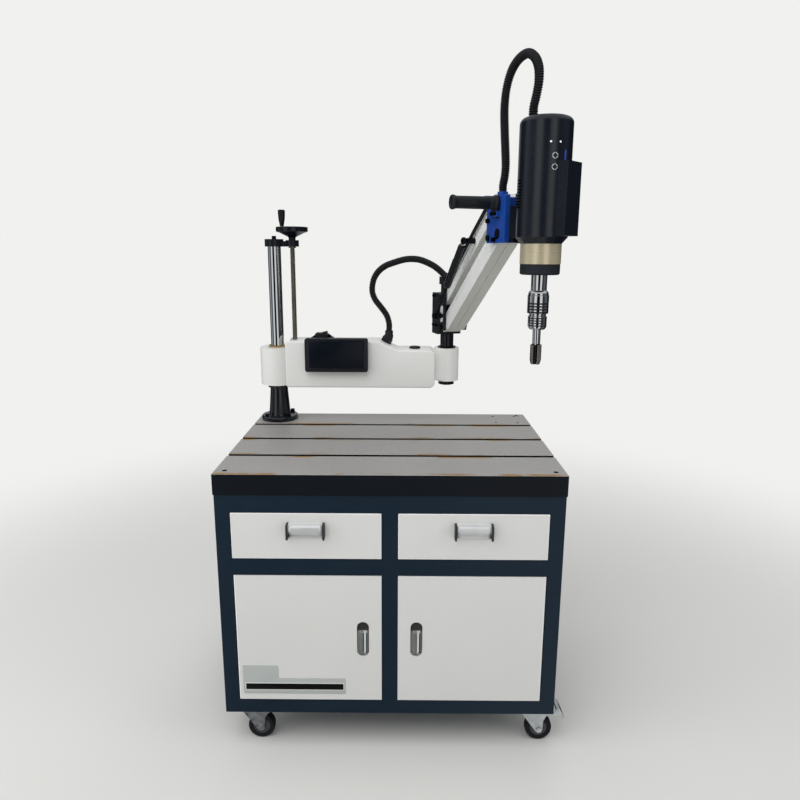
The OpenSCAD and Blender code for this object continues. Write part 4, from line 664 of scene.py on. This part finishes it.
finish(grip, gloss_black, "crank", "crank_handle")

# ---------------------------------------------------------------- the lower arm
# An iron casting with two bosses, and over its web a folded steel cover that holds the electronics.
# Both are off-white: a fine-textured powder coat with rounded edges.
white_coat = powder_coat("off_white_powder_coat", "#d9dad7", "#e0e1de", 0.38, 1.2, 0.08, 0.15)
bronze = metal("turned_bronze", "#a88a5a", "#c9ae7f", 0.32, scale=60.0)
softened("arm_casting", 2.5, white_coat)
bushes = softened("arm_bushes", 0.5, [bronze, black_oxide])
choose(bushes, lambda f: f.center.x > 0)
softened("lead_nut", 0.5, bronze)


def rounded_outline(corners, radii, step=2.0):
    """A closed outline with its corners rounded: each corner becomes an arc of its own radius between the two
    edges it joins."""
    p = np.array(corners, float)
    out = []
    for k in range(len(p)):
        a, b, c = p[k - 1], p[k], p[(k + 1) % len(p)]
        u, v = (a - b) / np.linalg.norm(a - b), (c - b) / np.linalg.norm(c - b)
        half = math.acos(max(-1, min(1, float(u @ v)))) / 2
        cut = radii[k] / math.tan(half)
        centre = b + (u + v) / np.linalg.norm(u + v) * radii[k] / math.sin(half)
        s, e = b + u * cut - centre, b + v * cut - centre
        a0, a1 = math.atan2(s[1], s[0]), math.atan2(e[1], e[0])
        sweep = (a1 - a0 + math.pi) % (2 * math.pi) - math.pi
        n = max(2, int(abs(sweep) * radii[k] / step) + 2)
        w = a0 + sweep * np.linspace(0, 1, n)
        out.append(centre + radii[k] * np.stack([np.cos(w), np.sin(w)], axis=1))
    return np.vstack(out)


def rounded_slab(name, corners, radii, y0, y1, edge, coat, body=None, node=None, rings=3, step=2.0):
    """A rounded outline carried along Y from y0 to y1: at each end it draws in by the edge radius times one
    minus the cosine of a quarter turn."""
    p = rounded_outline(corners, radii, step)
    ahead = np.roll(p, -1, axis=0) - np.roll(p, 1, axis=0)
    ahead /= np.maximum(np.linalg.norm(ahead, axis=1)[:, None], 1e-9)
    inward = np.stack([-ahead[:, 1], ahead[:, 0]], axis=1)
    if np.sum(p[:, 0] * np.roll(p[:, 1], -1) - p[:, 1] * np.roll(p[:, 0], -1)) < 0:
        inward = -inward
    q = np.linspace(0, np.pi / 2, rings)
    inset = np.concatenate([edge * (1 - np.sin(q)), edge * (1 - np.sin(q[::-1]))])
    depth = np.concatenate([y0 + edge * (1 - np.cos(q)), y1 - edge * (1 - np.cos(q[::-1]))])
    flat = p[None] + inward[None] * inset[:, None, None]
    grid = np.stack([flat[..., 0], np.broadcast_to(depth[:, None], flat.shape[:2]), flat[..., 1]], axis=-1)
    return finish(skin(name, grid / 1000, caps=True), coat, body, node, sharp=40)


def cut_away(piece, tool):
    """Takes the tool's solid out of the piece for good, then removes the tool."""
    cut = piece.modifiers.new("cut", "BOOLEAN")
    cut.operation, cut.solver, cut.object = "DIFFERENCE", "EXACT", tool
    graph = bpy.context.evaluated_depsgraph_get()
    mesh = bpy.data.meshes.new_from_object(piece.evaluated_get(graph))
    piece.modifiers.clear()
    piece.data = mesh
    bpy.data.objects.remove(tool)


cover = rounded_slab("arm_cover", [[-367, 917], [116.5, 917], [116.5, 1040], [-4.5, 1040], [-61, 1068],
                                   [-367, 1068]], [9, 17, 17, 16, 16, 9], 237, 347, 5.0, white_coat, rings=6)
column_gap = turned("column_gap", [[0, 900], [57.2, 900], [57.2, 1100], [0, 1100]], 96, (-0.400, 0.290, 0))
cut_away(cover, column_gap)
cover.data.polygons.foreach_set("use_smooth", [True] * len(cover.data.polygons))
cover.data.set_sharp_from_angle(angle=math.radians(30))
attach(cover, "lower_arm")
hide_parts("electronics_cover")

# the switch's seat, its wide rocker with a red left half, the hose gland and the round plug are moulded in
# black
black_abs = powder_coat("moulded_black_abs", "#0f1216", "#161a1f", 0.42, 0.9, 0.12, shine=0.4)
red_abs = powder_coat("glossy_red_switch", "#4f1013", "#5e1617", 0.30, 3.0, 0.02)
rounded_slab("switch_seat", [[-288, 1066], [-211.5, 1066], [-211.5, 1075], [-214.5, 1078.5], [-229, 1079.5],
                             [-231.5, 1091], [-271, 1091], [-274, 1079.5], [-285, 1078.5], [-288, 1075]],
             [1] * 10, 255, 285, 1.5, black_abs, "lower_arm", rings=5)
softened("power_rocker", 0.8, red_abs)
rounded_slab("rocker_black_half", [[-250, 1087], [-233.5, 1087], [-233.5, 1098.2], [-250, 1094.4]],
             [1, 1, 1.5, 1.5],
             259.2, 280.8, 0.8, black_abs, "rocker")
gland_lean, gland_foot = math.atan2(28, 56.5), np.array([-0.044, 0.297, 1.0578])
for name, profile, sides in (("cover_gland_nut",
                              [[0, 0], [18.6, 0], [18.6, 2.4], [16.6, 3.0], [17.4, 4.2], [17.4, 16.5],
                               [15.6, 18.6], [0, 18.6]], 6),
                             ("cover_gland_cap",
                              [[0, 17], [14.6, 18.0], [15.4, 20.0], [15.0, 24.5], [12.8, 29.0], [8.0, 31.0],
                               [0, 31.5]], 10)):
    nut_part = turned(name, profile, sides, (0, 0, 0))
    at = np.array([v.co for v in nut_part.data.vertices])
    leant = np.stack([at[:, 0] * math.cos(gland_lean) + at[:, 2] * math.sin(gland_lean), at[:, 1],
                      -at[:, 0] * math.sin(gland_lean) + at[:, 2] * math.cos(gland_lean)],
                     axis=1) + gland_foot
    nut_part.data.vertices.foreach_set("co", leant.ravel())
    finish(nut_part, black_abs, "lower_arm", sharp=20)
collar = turned("cover_gland_collar", [[8.8, 1076], [13.0, 1076], [13.6, 1078], [13.6, 1084], [12.4, 1085],
                                       [12.4, 1087], [13.2, 1088], [13.0, 1094], [12.0, 1097.5],
                                       [10.8, 1098.6], [8.8, 1098.6]], 12, (-0.033, 0.297, 0))
finish(collar, black_abs, "lower_arm", sharp=20)
plug = turned("cover_plug", [[0, 1032], [11.5, 1032], [11.5, 1039.8], [17.5, 1040.1], [18.0, 1041.0],
                             [17.8, 1044.4], [16.4, 1046.4], [13.4, 1046.9], [12.2, 1045.2], [0, 1045.0]], 64,
              (0.052, 0.290, 0))
finish(plug, black_abs, "lower_arm", "arm_plug")

# ---------------------------------------------------------------- the touch display
# A moulded black case with round corners, and a dark glass set into it with a darker printed margin.
rounded_slab("display_case", [[-300, 973], [-99, 973], [-99, 1081], [-300, 1081]], [7] * 4, 212, 237, 2.5,
             black_abs,
             "lower_arm", "display_housing", rings=5)


def dark_glass():
    """Display glass: near-black with a clear hard surface, and a faint grey smear of finger marks in the
    roughness."""
    m, t = fresh("dark_display_glass")
    where = add(t, "TexCoord").outputs["Object"]
    smear = noise(t, where, 18.0, 6.0)
    colour = mix(t, smear, tone("#080d15"), tone("#0c121b"))
    rough = remap(t, smear, 0.0, 1.0, 0.26, 0.36)
    return surface(m, {"Base Color": colour, "Roughness": rough, "IOR": 1.52, "Specular IOR Level": 0.15})


rounded_slab("display_glass_pane", [[-287, 986], [-113, 986], [-113, 1072.5], [-287, 1072.5]], [2.5] * 4,
             211.7, 214.5, 0.5, dark_glass(), "lower_arm", "display_glass")
rounded_slab("display_margin", [[-292.5, 979.5], [-106.5, 979.5], [-106.5, 1076], [-292.5, 1076]], [4] * 4,
             211.85, 213.5, 0.3, gloss_black, "lower_arm")
rounded_slab("display_notch", [[-210, 980.8], [-194, 980.8], [-194, 984.8], [-210, 984.8]], [1.9] * 4,
             211.3, 213.0, 0.4, black_abs, "lower_arm", step=0.8)

# ---------------------------------------------------------------- the elbow
# A turned steel post in the arm's right boss, and on it a box of bolted black plates, slotted for the gas
# spring.
low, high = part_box("elbow_post")
post_low, post_high = low.z * 1000, high.z * 1000
post_r = 21.5
post = turned("elbow_post_turned", [[0, post_low], [post_r, post_low], [26.0, post_low + 1.5],
                                    [26.0, post_low + 6.6], [post_r, post_low + 7.0],
                                    [post_r, post_high - 0.6], [post_r - 0.6, post_high], [0, post_high]], 64,
              (post_x / 1000, post_y / 1000, 0))
finish(post, gloss_black, "elbow", "elbow_post", sharp=35)
softened("elbow_bracket", 1.0, black_paint)
softened("link_pins_low", 0.8, black_oxide)
liner_w = np.linspace(0, 2 * np.pi, 48, endpoint=False)
slot_r, slot_half, slot_z = 6.2, 20, 1160
liner_rows = [(s, np.stack([anchor_a + (slot_r - i) * np.cos(liner_w),
                            slot_z + np.sign(np.sin(liner_w)) * slot_half + (slot_r - i) * np.sin(liner_w)],
                           axis=1))
              for s, i in ((-40.0, 0.0), (-44.4, 0.0), (-44.8, 0.4), (-44.8, 5.0))]
slot_liner = skin("gas_slot_liner", np.stack([on_arm(q[:, 0], side, q[:, 1]) for side, q in liner_rows]),
                  caps=True)
finish(slot_liner, metal("pale_slot_liner", "#c4c7c8", "#d6d8d8", 0.40, bare=0.25), "elbow", sharp=40)


def across_arm(name, profile, sides, a, z, side=0.0, recess=None):
    """A profile of (radius, distance to the side) turned about an axis across the arm at a and z; recess
    scales the radius at each turn."""
    p = np.array(profile, float)
    turn = np.linspace(0, 2 * np.pi, sides, endpoint=False)
    r = p[:, 0][:, None] * (1.0 if recess is None else recess(turn))
    return skin(name, on_arm(a + r * np.cos(turn), side + p[:, 1][:, None], z + r * np.sin(turn)))


def socket_screw(name, a, side, z, out, head_mm, high_mm, body, coat):
    """A socket-head screw across the arm: a turned head with a chamfer and a six-sided recess, its axis along
    the arm's side."""
    r, h = head_mm / 2, high_mm
    profile = [[0, h * 0.45], [r * 0.5, h * 0.45], [r * 0.56, h], [r * 0.88, h], [r, h * 0.86], [r, 0],
               [0, 0]]
    in_recess = np.arange(len(profile))[:, None] < 3
    made = across_arm(name, [[q, out * d] for q, d in profile], 24, a, z, side,
                      lambda turn: np.where(in_recess, 1 - 0.07 * (np.cos(6 * turn) < 0), 1.0))
    return finish(made, coat, body, sharp=35)


for k, (a, z) in enumerate(((-22, 1118), (-22, 1212), (4, 1118), (58, 1211), (58, 1119))):
    socket_screw(f"elbow_screw_{k + 1}", a, -40, z, -1, 8.5, 4.5, "elbow", black_oxide)
    socket_screw(f"elbow_screw_right_{k + 1}", a, 40, z, 1, 8.5, 4.5, "elbow", black_oxide)

# ---------------------------------------------------------------- the two arms of the parallelogram
# Extruded aluminium box sections, anodised a pale satin silver and faintly lined along their length; their
# downward faces are a darker grey as painted shade.
def anodised(name, low, high, rough, slope):
    """Extruded and anodised aluminium: fine lines that run along the section, which is turned by the slope in
    the arm's own upright plane."""
    m, t = fresh(name)
    where = add(t, "TexCoord").outputs["Object"]
    level = add(t, "Mapping", {"Vector": where, "Rotation": (0, 0, -arm_turn)})
    tipped = add(t, "Mapping", {"Vector": level.outputs[0], "Rotation": (0, slope, 0)})
    drawn = add(t, "Mapping", {"Vector": tipped.outputs[0], "Scale": (2.0, 260.0, 260.0)})
    line = noise(t, drawn.outputs[0], 1.2, 4.0)
    cloud = noise(t, where, 9.0, 4.0)
    mixed = mix(t, cloud, tone(low), tone(high))
    streak = remap(t, line, 0.3, 0.7, 0.95, 1.0)
    lined = mix(t, 1.0, mixed, streak, "MULTIPLY")
    bump = dent(t, line, 0.10, 0.0003)
    return surface(m, {"Base Color": lined, "Normal": bump, "Metallic": 0.08, "Roughness": rough})


link_slope, side_from = math.radians(36.6), 0.0285
silver_beam = anodised("silver_anodised_beam", "#e2e4e3", "#eaebea", 0.42, link_slope)
painted_shade_underside = anodised("painted_shade_beam_underside", "#c2c3bd", "#cbccc6", 0.5, link_slope)
beam = softened("main_beam", 1.6, [silver_beam, painted_shade_underside])
link = softened("upper_link", 1.6, [silver_beam, painted_shade_underside])
for section in (beam, link):
    section.data.materials.append(black_oxide)
    # faces that look down get the darker grey: painted shade on the undersides
    choose(section,
           lambda f: 2 if abs((f.center.y - post_y / 1000) * math.cos(arm_turn) - (f.center.x - post_x / 1000)
                                       * math.sin(arm_turn)) > side_from else f.normal.z < -0.5)


def on_link(s, side, up, low_z):
    """A point on a link in metres: s along it from its lower pivot, side across it, up square to it."""
    return on_arm(link_from + s * math.cos(link_slope) - up * math.sin(link_slope), side,
                  low_z + s * math.sin(link_slope) + up * math.cos(link_slope))


# shallow extruded grooves run along the sides of both sections, drawn as raised silver ribs beside them
for body, low_z, half_w, ups in (("main_beam", beam_z, 28.0, (-16.5, 16.5)),
                                 ("upper_link", link_z, 26.0, (0.0,))):
    for out in (-1, 1):
        for up in ups:
            s = np.array([34.0, 35.0, 412.0, 413.0])
            w = np.linspace(0, np.pi, 9)
            grid = np.stack([on_link(s, out * (half_w + 0.9 * math.sin(a) * np.array([0, 1, 1, 0])),
                                     up + 1.6 * math.cos(a), low_z)
                             for a in w], axis=1)
            rib = skin(f"{body}_rib_{'l' if out < 0 else 'r'}_{int(abs(up) * 10)}_{'a' if up < 0 else 'b'}",
                       grid, close_v=False)
            finish(rib, silver_beam, body)

# ---------------------------------------------------------------- the gas spring
# A painted black pressure tube with a rolled end, a chromed rod, and a ball stud at the upper link.
spring_a, spring_z = link_from + stud_along * math.cos(link_slope), link_z + stud_along * math.sin(link_slope)
spring_side, spring_long = -60.0, math.hypot(spring_a - anchor_a, spring_z - anchor_z)
spring_dir = ((anchor_a - spring_a) / spring_long, (anchor_z - spring_z) / spring_long)


def along_spring(name, profile, sides, coat, body, node=None):
    """A profile of (radius, distance) turned about the spring's own line, from the ball stud down to the
    anchor."""
    p = np.array(profile, float)
    turn = np.linspace(0, 2 * np.pi, sides, endpoint=False)
    r, d = p[:, 0][:, None], p[:, 1][:, None]
    a = spring_a + d * spring_dir[0] - r * np.cos(turn) * spring_dir[1]
    z = spring_z + d * spring_dir[1] + r * np.cos(turn) * spring_dir[0]
    return finish(skin(name, on_arm(a, spring_side + r * np.sin(turn), z)), coat, body, node, sharp=40)


along_spring("gas_spring_tube", [[0, 17], [6.5, 17.2], [9.0, 18.6], [9.6, 21], [9.8, 70], [11.0, 76],
                                 [11.2, 150], [11.0, 172], [10.6, 177], [9.6, 179.5], [7.5, 181.6],
                                 [4.4, 182], [0, 182]], 40, gloss_black, "gas_cylinder", "gas_cylinder")
along_spring("gas_spring_socket", [[0, 3], [5.2, 3.4], [6.0, 8], [6.0, 14], [5.0, 16], [5.0, 18], [0, 18]],
             24, zinc, "gas_cylinder")
eye_rows = np.linspace(-6.4, 6.4, 9)
ball = [[math.sqrt(max(0.0, 100 - (y * 0.8) ** 2)) * (1 - 0.25 * (abs(y) / 6.4) ** 4), y] for y in eye_rows]
ball_joint = across_arm("gas_spring_ball", [[0, -6.5]] + ball + [[0, 6.5]], 32, spring_a, spring_z,
                        spring_side)
finish(ball_joint, black_oxide, "gas_cylinder")
along_spring("gas_spring_rod", [[0, 62], [4, 62], [4, 292], [6.5, 293], [6.5, 304], [0, 305]], 24,
             black_oxide, "gas_rod", "gas_rod")
ring_rows = [[7.8, -5], [10.2, -5], [11, -4], [11, 4], [10.2, 5], [7.8, 5], [7.8, -5]]
finish(across_arm("gas_spring_eye", ring_rows, 32, anchor_a, anchor_z, spring_side), black_oxide, "gas_rod",
       sharp=40)

# ---------------------------------------------------------------- the blue head bracket
# Milled aluminium plates anodised and painted a strong mid-blue, clamped with black screws.
# the paler edge tone #3a63b8 is partly rubbed wear and partly a painted highlight on the rounded edges
blue_paint = powder_coat("glossy_blue_paint", "#153b88", "#1b479c", 0.32, 2.2, 0.05, 0.1, "#3a63b8", 0.4)
softened("head_plates", 1.3, blue_paint)
softened("link_pins_high", 0.9, black_oxide)
for k, (a, z) in enumerate(((407.3, 1427.3), (445.3, 1380.3))):
    socket_screw(f"plate_screw_{k + 1}", a, -46, z, -1, 12.5, 6, "head_bracket", black_oxide)
for k, (a, z) in enumerate(((450, 1424), (466, 1424))):
    socket_screw(f"clamp_screw_{k + 1}", a, -54, z + 18, -1, 9, 6, "head_bracket", black_oxide)

# the clamp block: a black slab with round corners on the left plate, under the handle's collar, held by two
# screws
clamp_outline = rounded_outline([[441, 1432], [471, 1432], [471, 1455], [441, 1455]], [3.0] * 4, 1.0)
clamp_rows = [(s, clamp_outline.mean(axis=0) + (clamp_outline - clamp_outline.mean(axis=0)) * k)
              for s, k in ((-45.5, 1.0), (-53.0, 1.0), (-54.0, 0.95))]
clamp_block = skin("handle_clamp_block", np.stack([on_arm(q[:, 0], s, q[:, 1]) for s, q in clamp_rows]),
                   caps=True)
finish(clamp_block, black_paint, "head_bracket", sharp=35)

# the handle: a black rubber sleeve with fine rings on a bar, a flange at its outer end and a clamp collar at
# the plates
handle_a = link_from + link_long * math.cos(link_slope) + 49
handle_z = beam_z + link_long * math.sin(link_slope) + 82
handle_rows = [[0, -36], [8, -36], [8, -44], [18, -44.3], [19, -45.5], [19, -53.0], [18, -54.5],
               [15.6, -56.4], [15.6, -66.0], [15.0, -66.6], [15.0, -69.0], [15.4, -69.6], [15.2, -110.0],
               [14.9, -149.0], [15.3, -154.0], [16.8, -157.0], [17.4, -159.5], [17.4, -162.6], [16.4, -164.4],
               [12.0, -164.0], [10.5, -161.2], [0, -160.8]]
rubber_grip = powder_coat("ribbed_rubber_grip", "#14171a", "#1b1f23", 0.50, 1.0, 0.12, shine=0.4)
handle = across_arm("lifting_handle", handle_rows, 48, handle_a, handle_z)
finish(handle, rubber_grip, "head_bracket", "handle_grip", sharp=45)

# ---------------------------------------------------------------- the tapping head
# A black machined block carries a deep-drawn steel hood, painted a satin blue-black, over the servo motor.
# the paler edge tone #232c37 is partly rubbed wear and partly a painted edge highlight
hood_coat = powder_coat("satin_blue_black_paint", "#0a0f17", "#0f151e", 0.27, 1.6, 0.04, 0.0, "#232c37", 0.6)
softened("tilt_block", 1.4, black_paint)
softened("motor_hood", 0.9, hood_coat, angle=30)
softened("servo_motor", 0.8, black_abs)
softened("clamp_knob", 0.8, black_abs)
hood_r = 58.0
head_x, head_y = (float(v) for v in on_arm(600, 0, 0)[:2] * 1000)


def on_hood(local, height, out=0.0):
    """A point on the hood in metres: local is the angle from the arm's direction in degrees, out is the
    distance off its 58 mm radius."""
    w = arm_turn + np.radians(np.asarray(local, float))
    r = hood_r + out
    return np.stack(np.broadcast_arrays((head_x + r * np.cos(w)) / 1000, (head_y + r * np.sin(w)) / 1000,
                                        np.asarray(height, float) / 1000), axis=-1)


def hood_patch(name, outline, out, high, coat, body="head", node=None):
    """A flat outline of (angle in degrees, height) laid on the hood: a base on the skin, sides, and a face
    raised by high mm."""
    p = np.array(outline, float)
    mid = p.mean(axis=0)
    rings = [(p, out - 1.0), (p, out + high * 0.6), (mid + (p - mid) * 0.93, out + high),
             (mid + (p - mid) * 0.5, out + high),
             (np.broadcast_to(mid, p.shape), out + high)]
    grid = np.stack([on_hood(q[:, 0], q[:, 1], o) for q, o in rings])
    return finish(skin(name, grid), coat, body, node, sharp=40)


def dial_points(local, height, radius, w, power):
    """Points on the hood round a centre, at the turns w: on a circle when power is 1, on a diamond's edge as
    it grows."""
    c, s = squarish(np.cos(w), power), squarish(np.sin(w), power)
    return np.stack([local + np.degrees(radius * c / hood_r), height + radius * s], axis=1)


def dial(local, height, radius, sides=28, power=1.0):
    """A closed outline on the hood round a point: a circle when power is 1, a diamond with round corners as
    it grows."""
    w = np.linspace(0, 2 * np.pi, sides, endpoint=False)
    return dial_points(local, height, radius, w, power)


white_ink = powder_coat("white_button_print", "#c9ccd1", "#d9dce0", 0.4)
blue_ink = powder_coat("blue_button_print", "#2342a6", "#2d50bd", 0.35)
lamp_white = powder_coat("white_indicator_lens", "#eef0f2", "#f4f5f6", 0.25)
for k, local in enumerate((-18.0, 3.0)):
    hood_patch(f"indicator_{k + 1}", dial(local, 1579, 2.3), 0.0, 0.5, lamp_white)
for node, height, riding in (("button_upper", 1551, "button_up"), ("button_lower", 1528, "button_low")):
    hood_patch(node + "_cap", dial(-8.0, height, 6.2, 32, 1.35), 0.0, 1.3, black_abs, riding, node)
    for k in range(4):
        w = np.linspace(k * np.pi / 2 + 0.25, (k + 1) * np.pi / 2 - 0.25, 8)
        outer, inner = (dial_points(-8.0, height, r, w, 1.5) for r in (6.9, 5.6))
        strip = np.concatenate([outer, inner[::-1]])
        hood_patch(f"{node}_print_{k + 1}", strip, 0.9, 0.6, white_ink, riding)
patch = [[15.5, 1539], [15.5, 1563], [19.5, 1563], [19.5, 1539]]
hood_patch("blue_key_strip", patch, 0.0, 0.5, blue_ink)

# the reduction gear's housing: champagne anodised aluminium, finely turned, over a black nose ring
champagne = metal("champagne_anodised", "#cdc1a3", "#dacfb2", 0.34, grain=(1.0, 1.0, 60.0), scale=14.0,
                  scratch=0.0, bare=0.6)
softened("gear_housing", 0.8, champagne)
nose_paint = powder_coat("matte_black_anodising", "#171b20", "#1d2228", 0.5, 1.2, 0.08, shine=0.35)
softened("nose_ring", 1.0, nose_paint)

# ---------------------------------------------------------------- the spindle, the chuck and the tap
# Ground and chromed tool steel: a plain spindle, a flared sleeve, and two collars ringed with near-black
# bands that are painted shade in their grooves.
ground_steel = metal("ground_tool_steel", "#cfd1d3", "#dddfe0", 0.06, grain=(1.0, 1.0, 50.0), scale=16.0,
                     scratch=0.01)
painted_groove_shade = powder_coat("painted_shade_groove_bands", "#0e0f11", "#17181a", 0.4)
spindle_at = (head_x / 1000, head_y / 1000, 0)
shaft = turned("spindle_turned", [[0, 1264], [17.6, 1264], [18.2, 1265], [18.2, 1296], [18.2, 1364],
                                  [0, 1364]], 64, spindle_at)
finish(shaft, ground_steel, "spindle", "spindle", sharp=35)
sleeve = turned("chuck_sleeve", [[0, 1264.5], [19.0, 1264.5], [20.5, 1262.8], [22.9, 1259.0], [23.2, 1258.0],
                                 [23.2, 1254.3], [20.0, 1254.2], [20.0, 1210.4], [19.4, 1209.6],
                                 [19.4, 1206.6], [21.2, 1205.6], [21.5, 1204.8], [21.5, 1181.5],
                                 [19.4, 1177.0], [17.4, 1175.2], [9.6, 1175.0], [9.6, 1178.0], [0, 1178.0]],
                72, spindle_at)
finish(sleeve, ground_steel, "spindle", "chuck", sharp=30)
collar_rows = [[20.1, 1212.2], [23.6, 1212.2], [24.4, 1213.0]]
for k in range(4):
    z = 1213.6 + 6.6 * k
    collar_rows += [[24.4, z], [23.2, z + 0.4], [23.2, z + 3.1], [24.4, z + 3.5]]
collar_rows += [[24.4, 1252.8], [24.0, 1253.8], [23.5, 1253.8], [23.5, 1249.4], [20.1, 1249.2],
                [20.1, 1212.2]]
collar = turned("chuck_collar_turned", collar_rows, 72, spindle_at)
finish(collar, ground_steel, "collar", "chuck_collar", sharp=30)
# near-black bands laid in the grooves: painted shade
for name, body, first_z, step, inner, outer, high_mm in (("collar", "collar", 1214.0, 6.6, 22.9, 24.1, 2.8),
                                                         ("sleeve", "spindle", 1183.2, 5.7, 21.0, 21.62,
                                                          2.6)):
    for k in range(4):
        z = first_z + step * k
        band = turned(f"{name}_groove_{k + 1}",
                      [[inner, z], [outer, z], [outer, z + high_mm], [inner, z + high_mm]], 72, spindle_at)
        finish(band, painted_groove_shade, body)
# the tap: high-speed steel with four flutes; its radius is the thread's ridge less a smooth valley at each
# flute
rows = np.arange(1093.0, 1141.5, 0.4)
turn = np.linspace(0, 2 * np.pi, 96, endpoint=False)
lead = np.clip((rows - 1093) / 10, 0, 1)[:, None]
tooth = np.abs(((rows[:, None] / 2.0 - turn[None] / (2 * np.pi)) % 1.0) - 0.5) * 2
crest = (11.2 + 2.8 * lead) - 0.8 * (1 - tooth)
valley = np.clip(np.cos(4 * turn + 1.2) * 1.9 - 0.45, 0, 1)[None] ** 0.7
radius = crest * (1 - valley) + 6.8 * valley
radius = np.where(rows[:, None] > 1139, np.minimum(radius, 9.4), radius)
grid = np.stack([radius * np.cos(turn) + head_x, radius * np.sin(turn) + head_y,
                 np.broadcast_to(rows[:, None], radius.shape)], axis=-1)
tap_steel = metal("ground_high_speed_steel", "#8d8984", "#aba7a1", 0.26, scale=120.0, scratch=0.04)
# faces down in the flutes get a darker steel: painted shade in the flutes
painted_shade_flute = metal("painted_shade_flute_steel", "#3a3733", "#4c4843", 0.34, scale=120.0)
threads = skin("tap_threads", grid / 1000, caps=True)
finish(threads, [tap_steel, painted_shade_flute], "spindle", "tap", sharp=40)
flute_within = 0.0098
choose(threads, lambda f: math.hypot(f.center.x - head_x / 1000, f.center.y - head_y / 1000) < flute_within)
shank = turned("tap_shank", [[0, 1139], [8.6, 1139], [9.4, 1143], [9.4, 1176], [0, 1178]], 40, spindle_at)
finish(shank, ground_steel, "spindle", sharp=40)

# ---------------------------------------------------------------- the bare plate on the left door
# A pale grey aluminium plate with a step and a plain black strip; it carries no words.
plate_grey = powder_coat("pale_grey_plate", "#abb0ae", "#b5bab8", 0.4, 3.0, 0.03)
strip_black = powder_coat("black_plate_strip", "#040506", "#08090a", 0.5, 3.0, 0.02, shine=0.15)
for name, corners, radii, depth, coat in (
        ("door_plate", [[-416, 173], [-139, 173], [-139, 220], [-320, 220], [-320, 258], [-416, 258]],
         [4, 4, 4, 2, 4, 2], 0.9, plate_grey),
        ("door_plate_rim", [[-411, 183.5], [-143, 183.5], [-143, 206.5], [-411, 206.5]], [1.2] * 4, 1.1,
         front_coat),
        ("door_plate_strip", [[-409, 186], [-145, 186], [-145, 204], [-409, 204]], [1.0] * 4, 1.3,
         strip_black)):
    rounded_slab(name, corners, radii, -249 - depth, -248.8, 0.3, coat, "door_left")
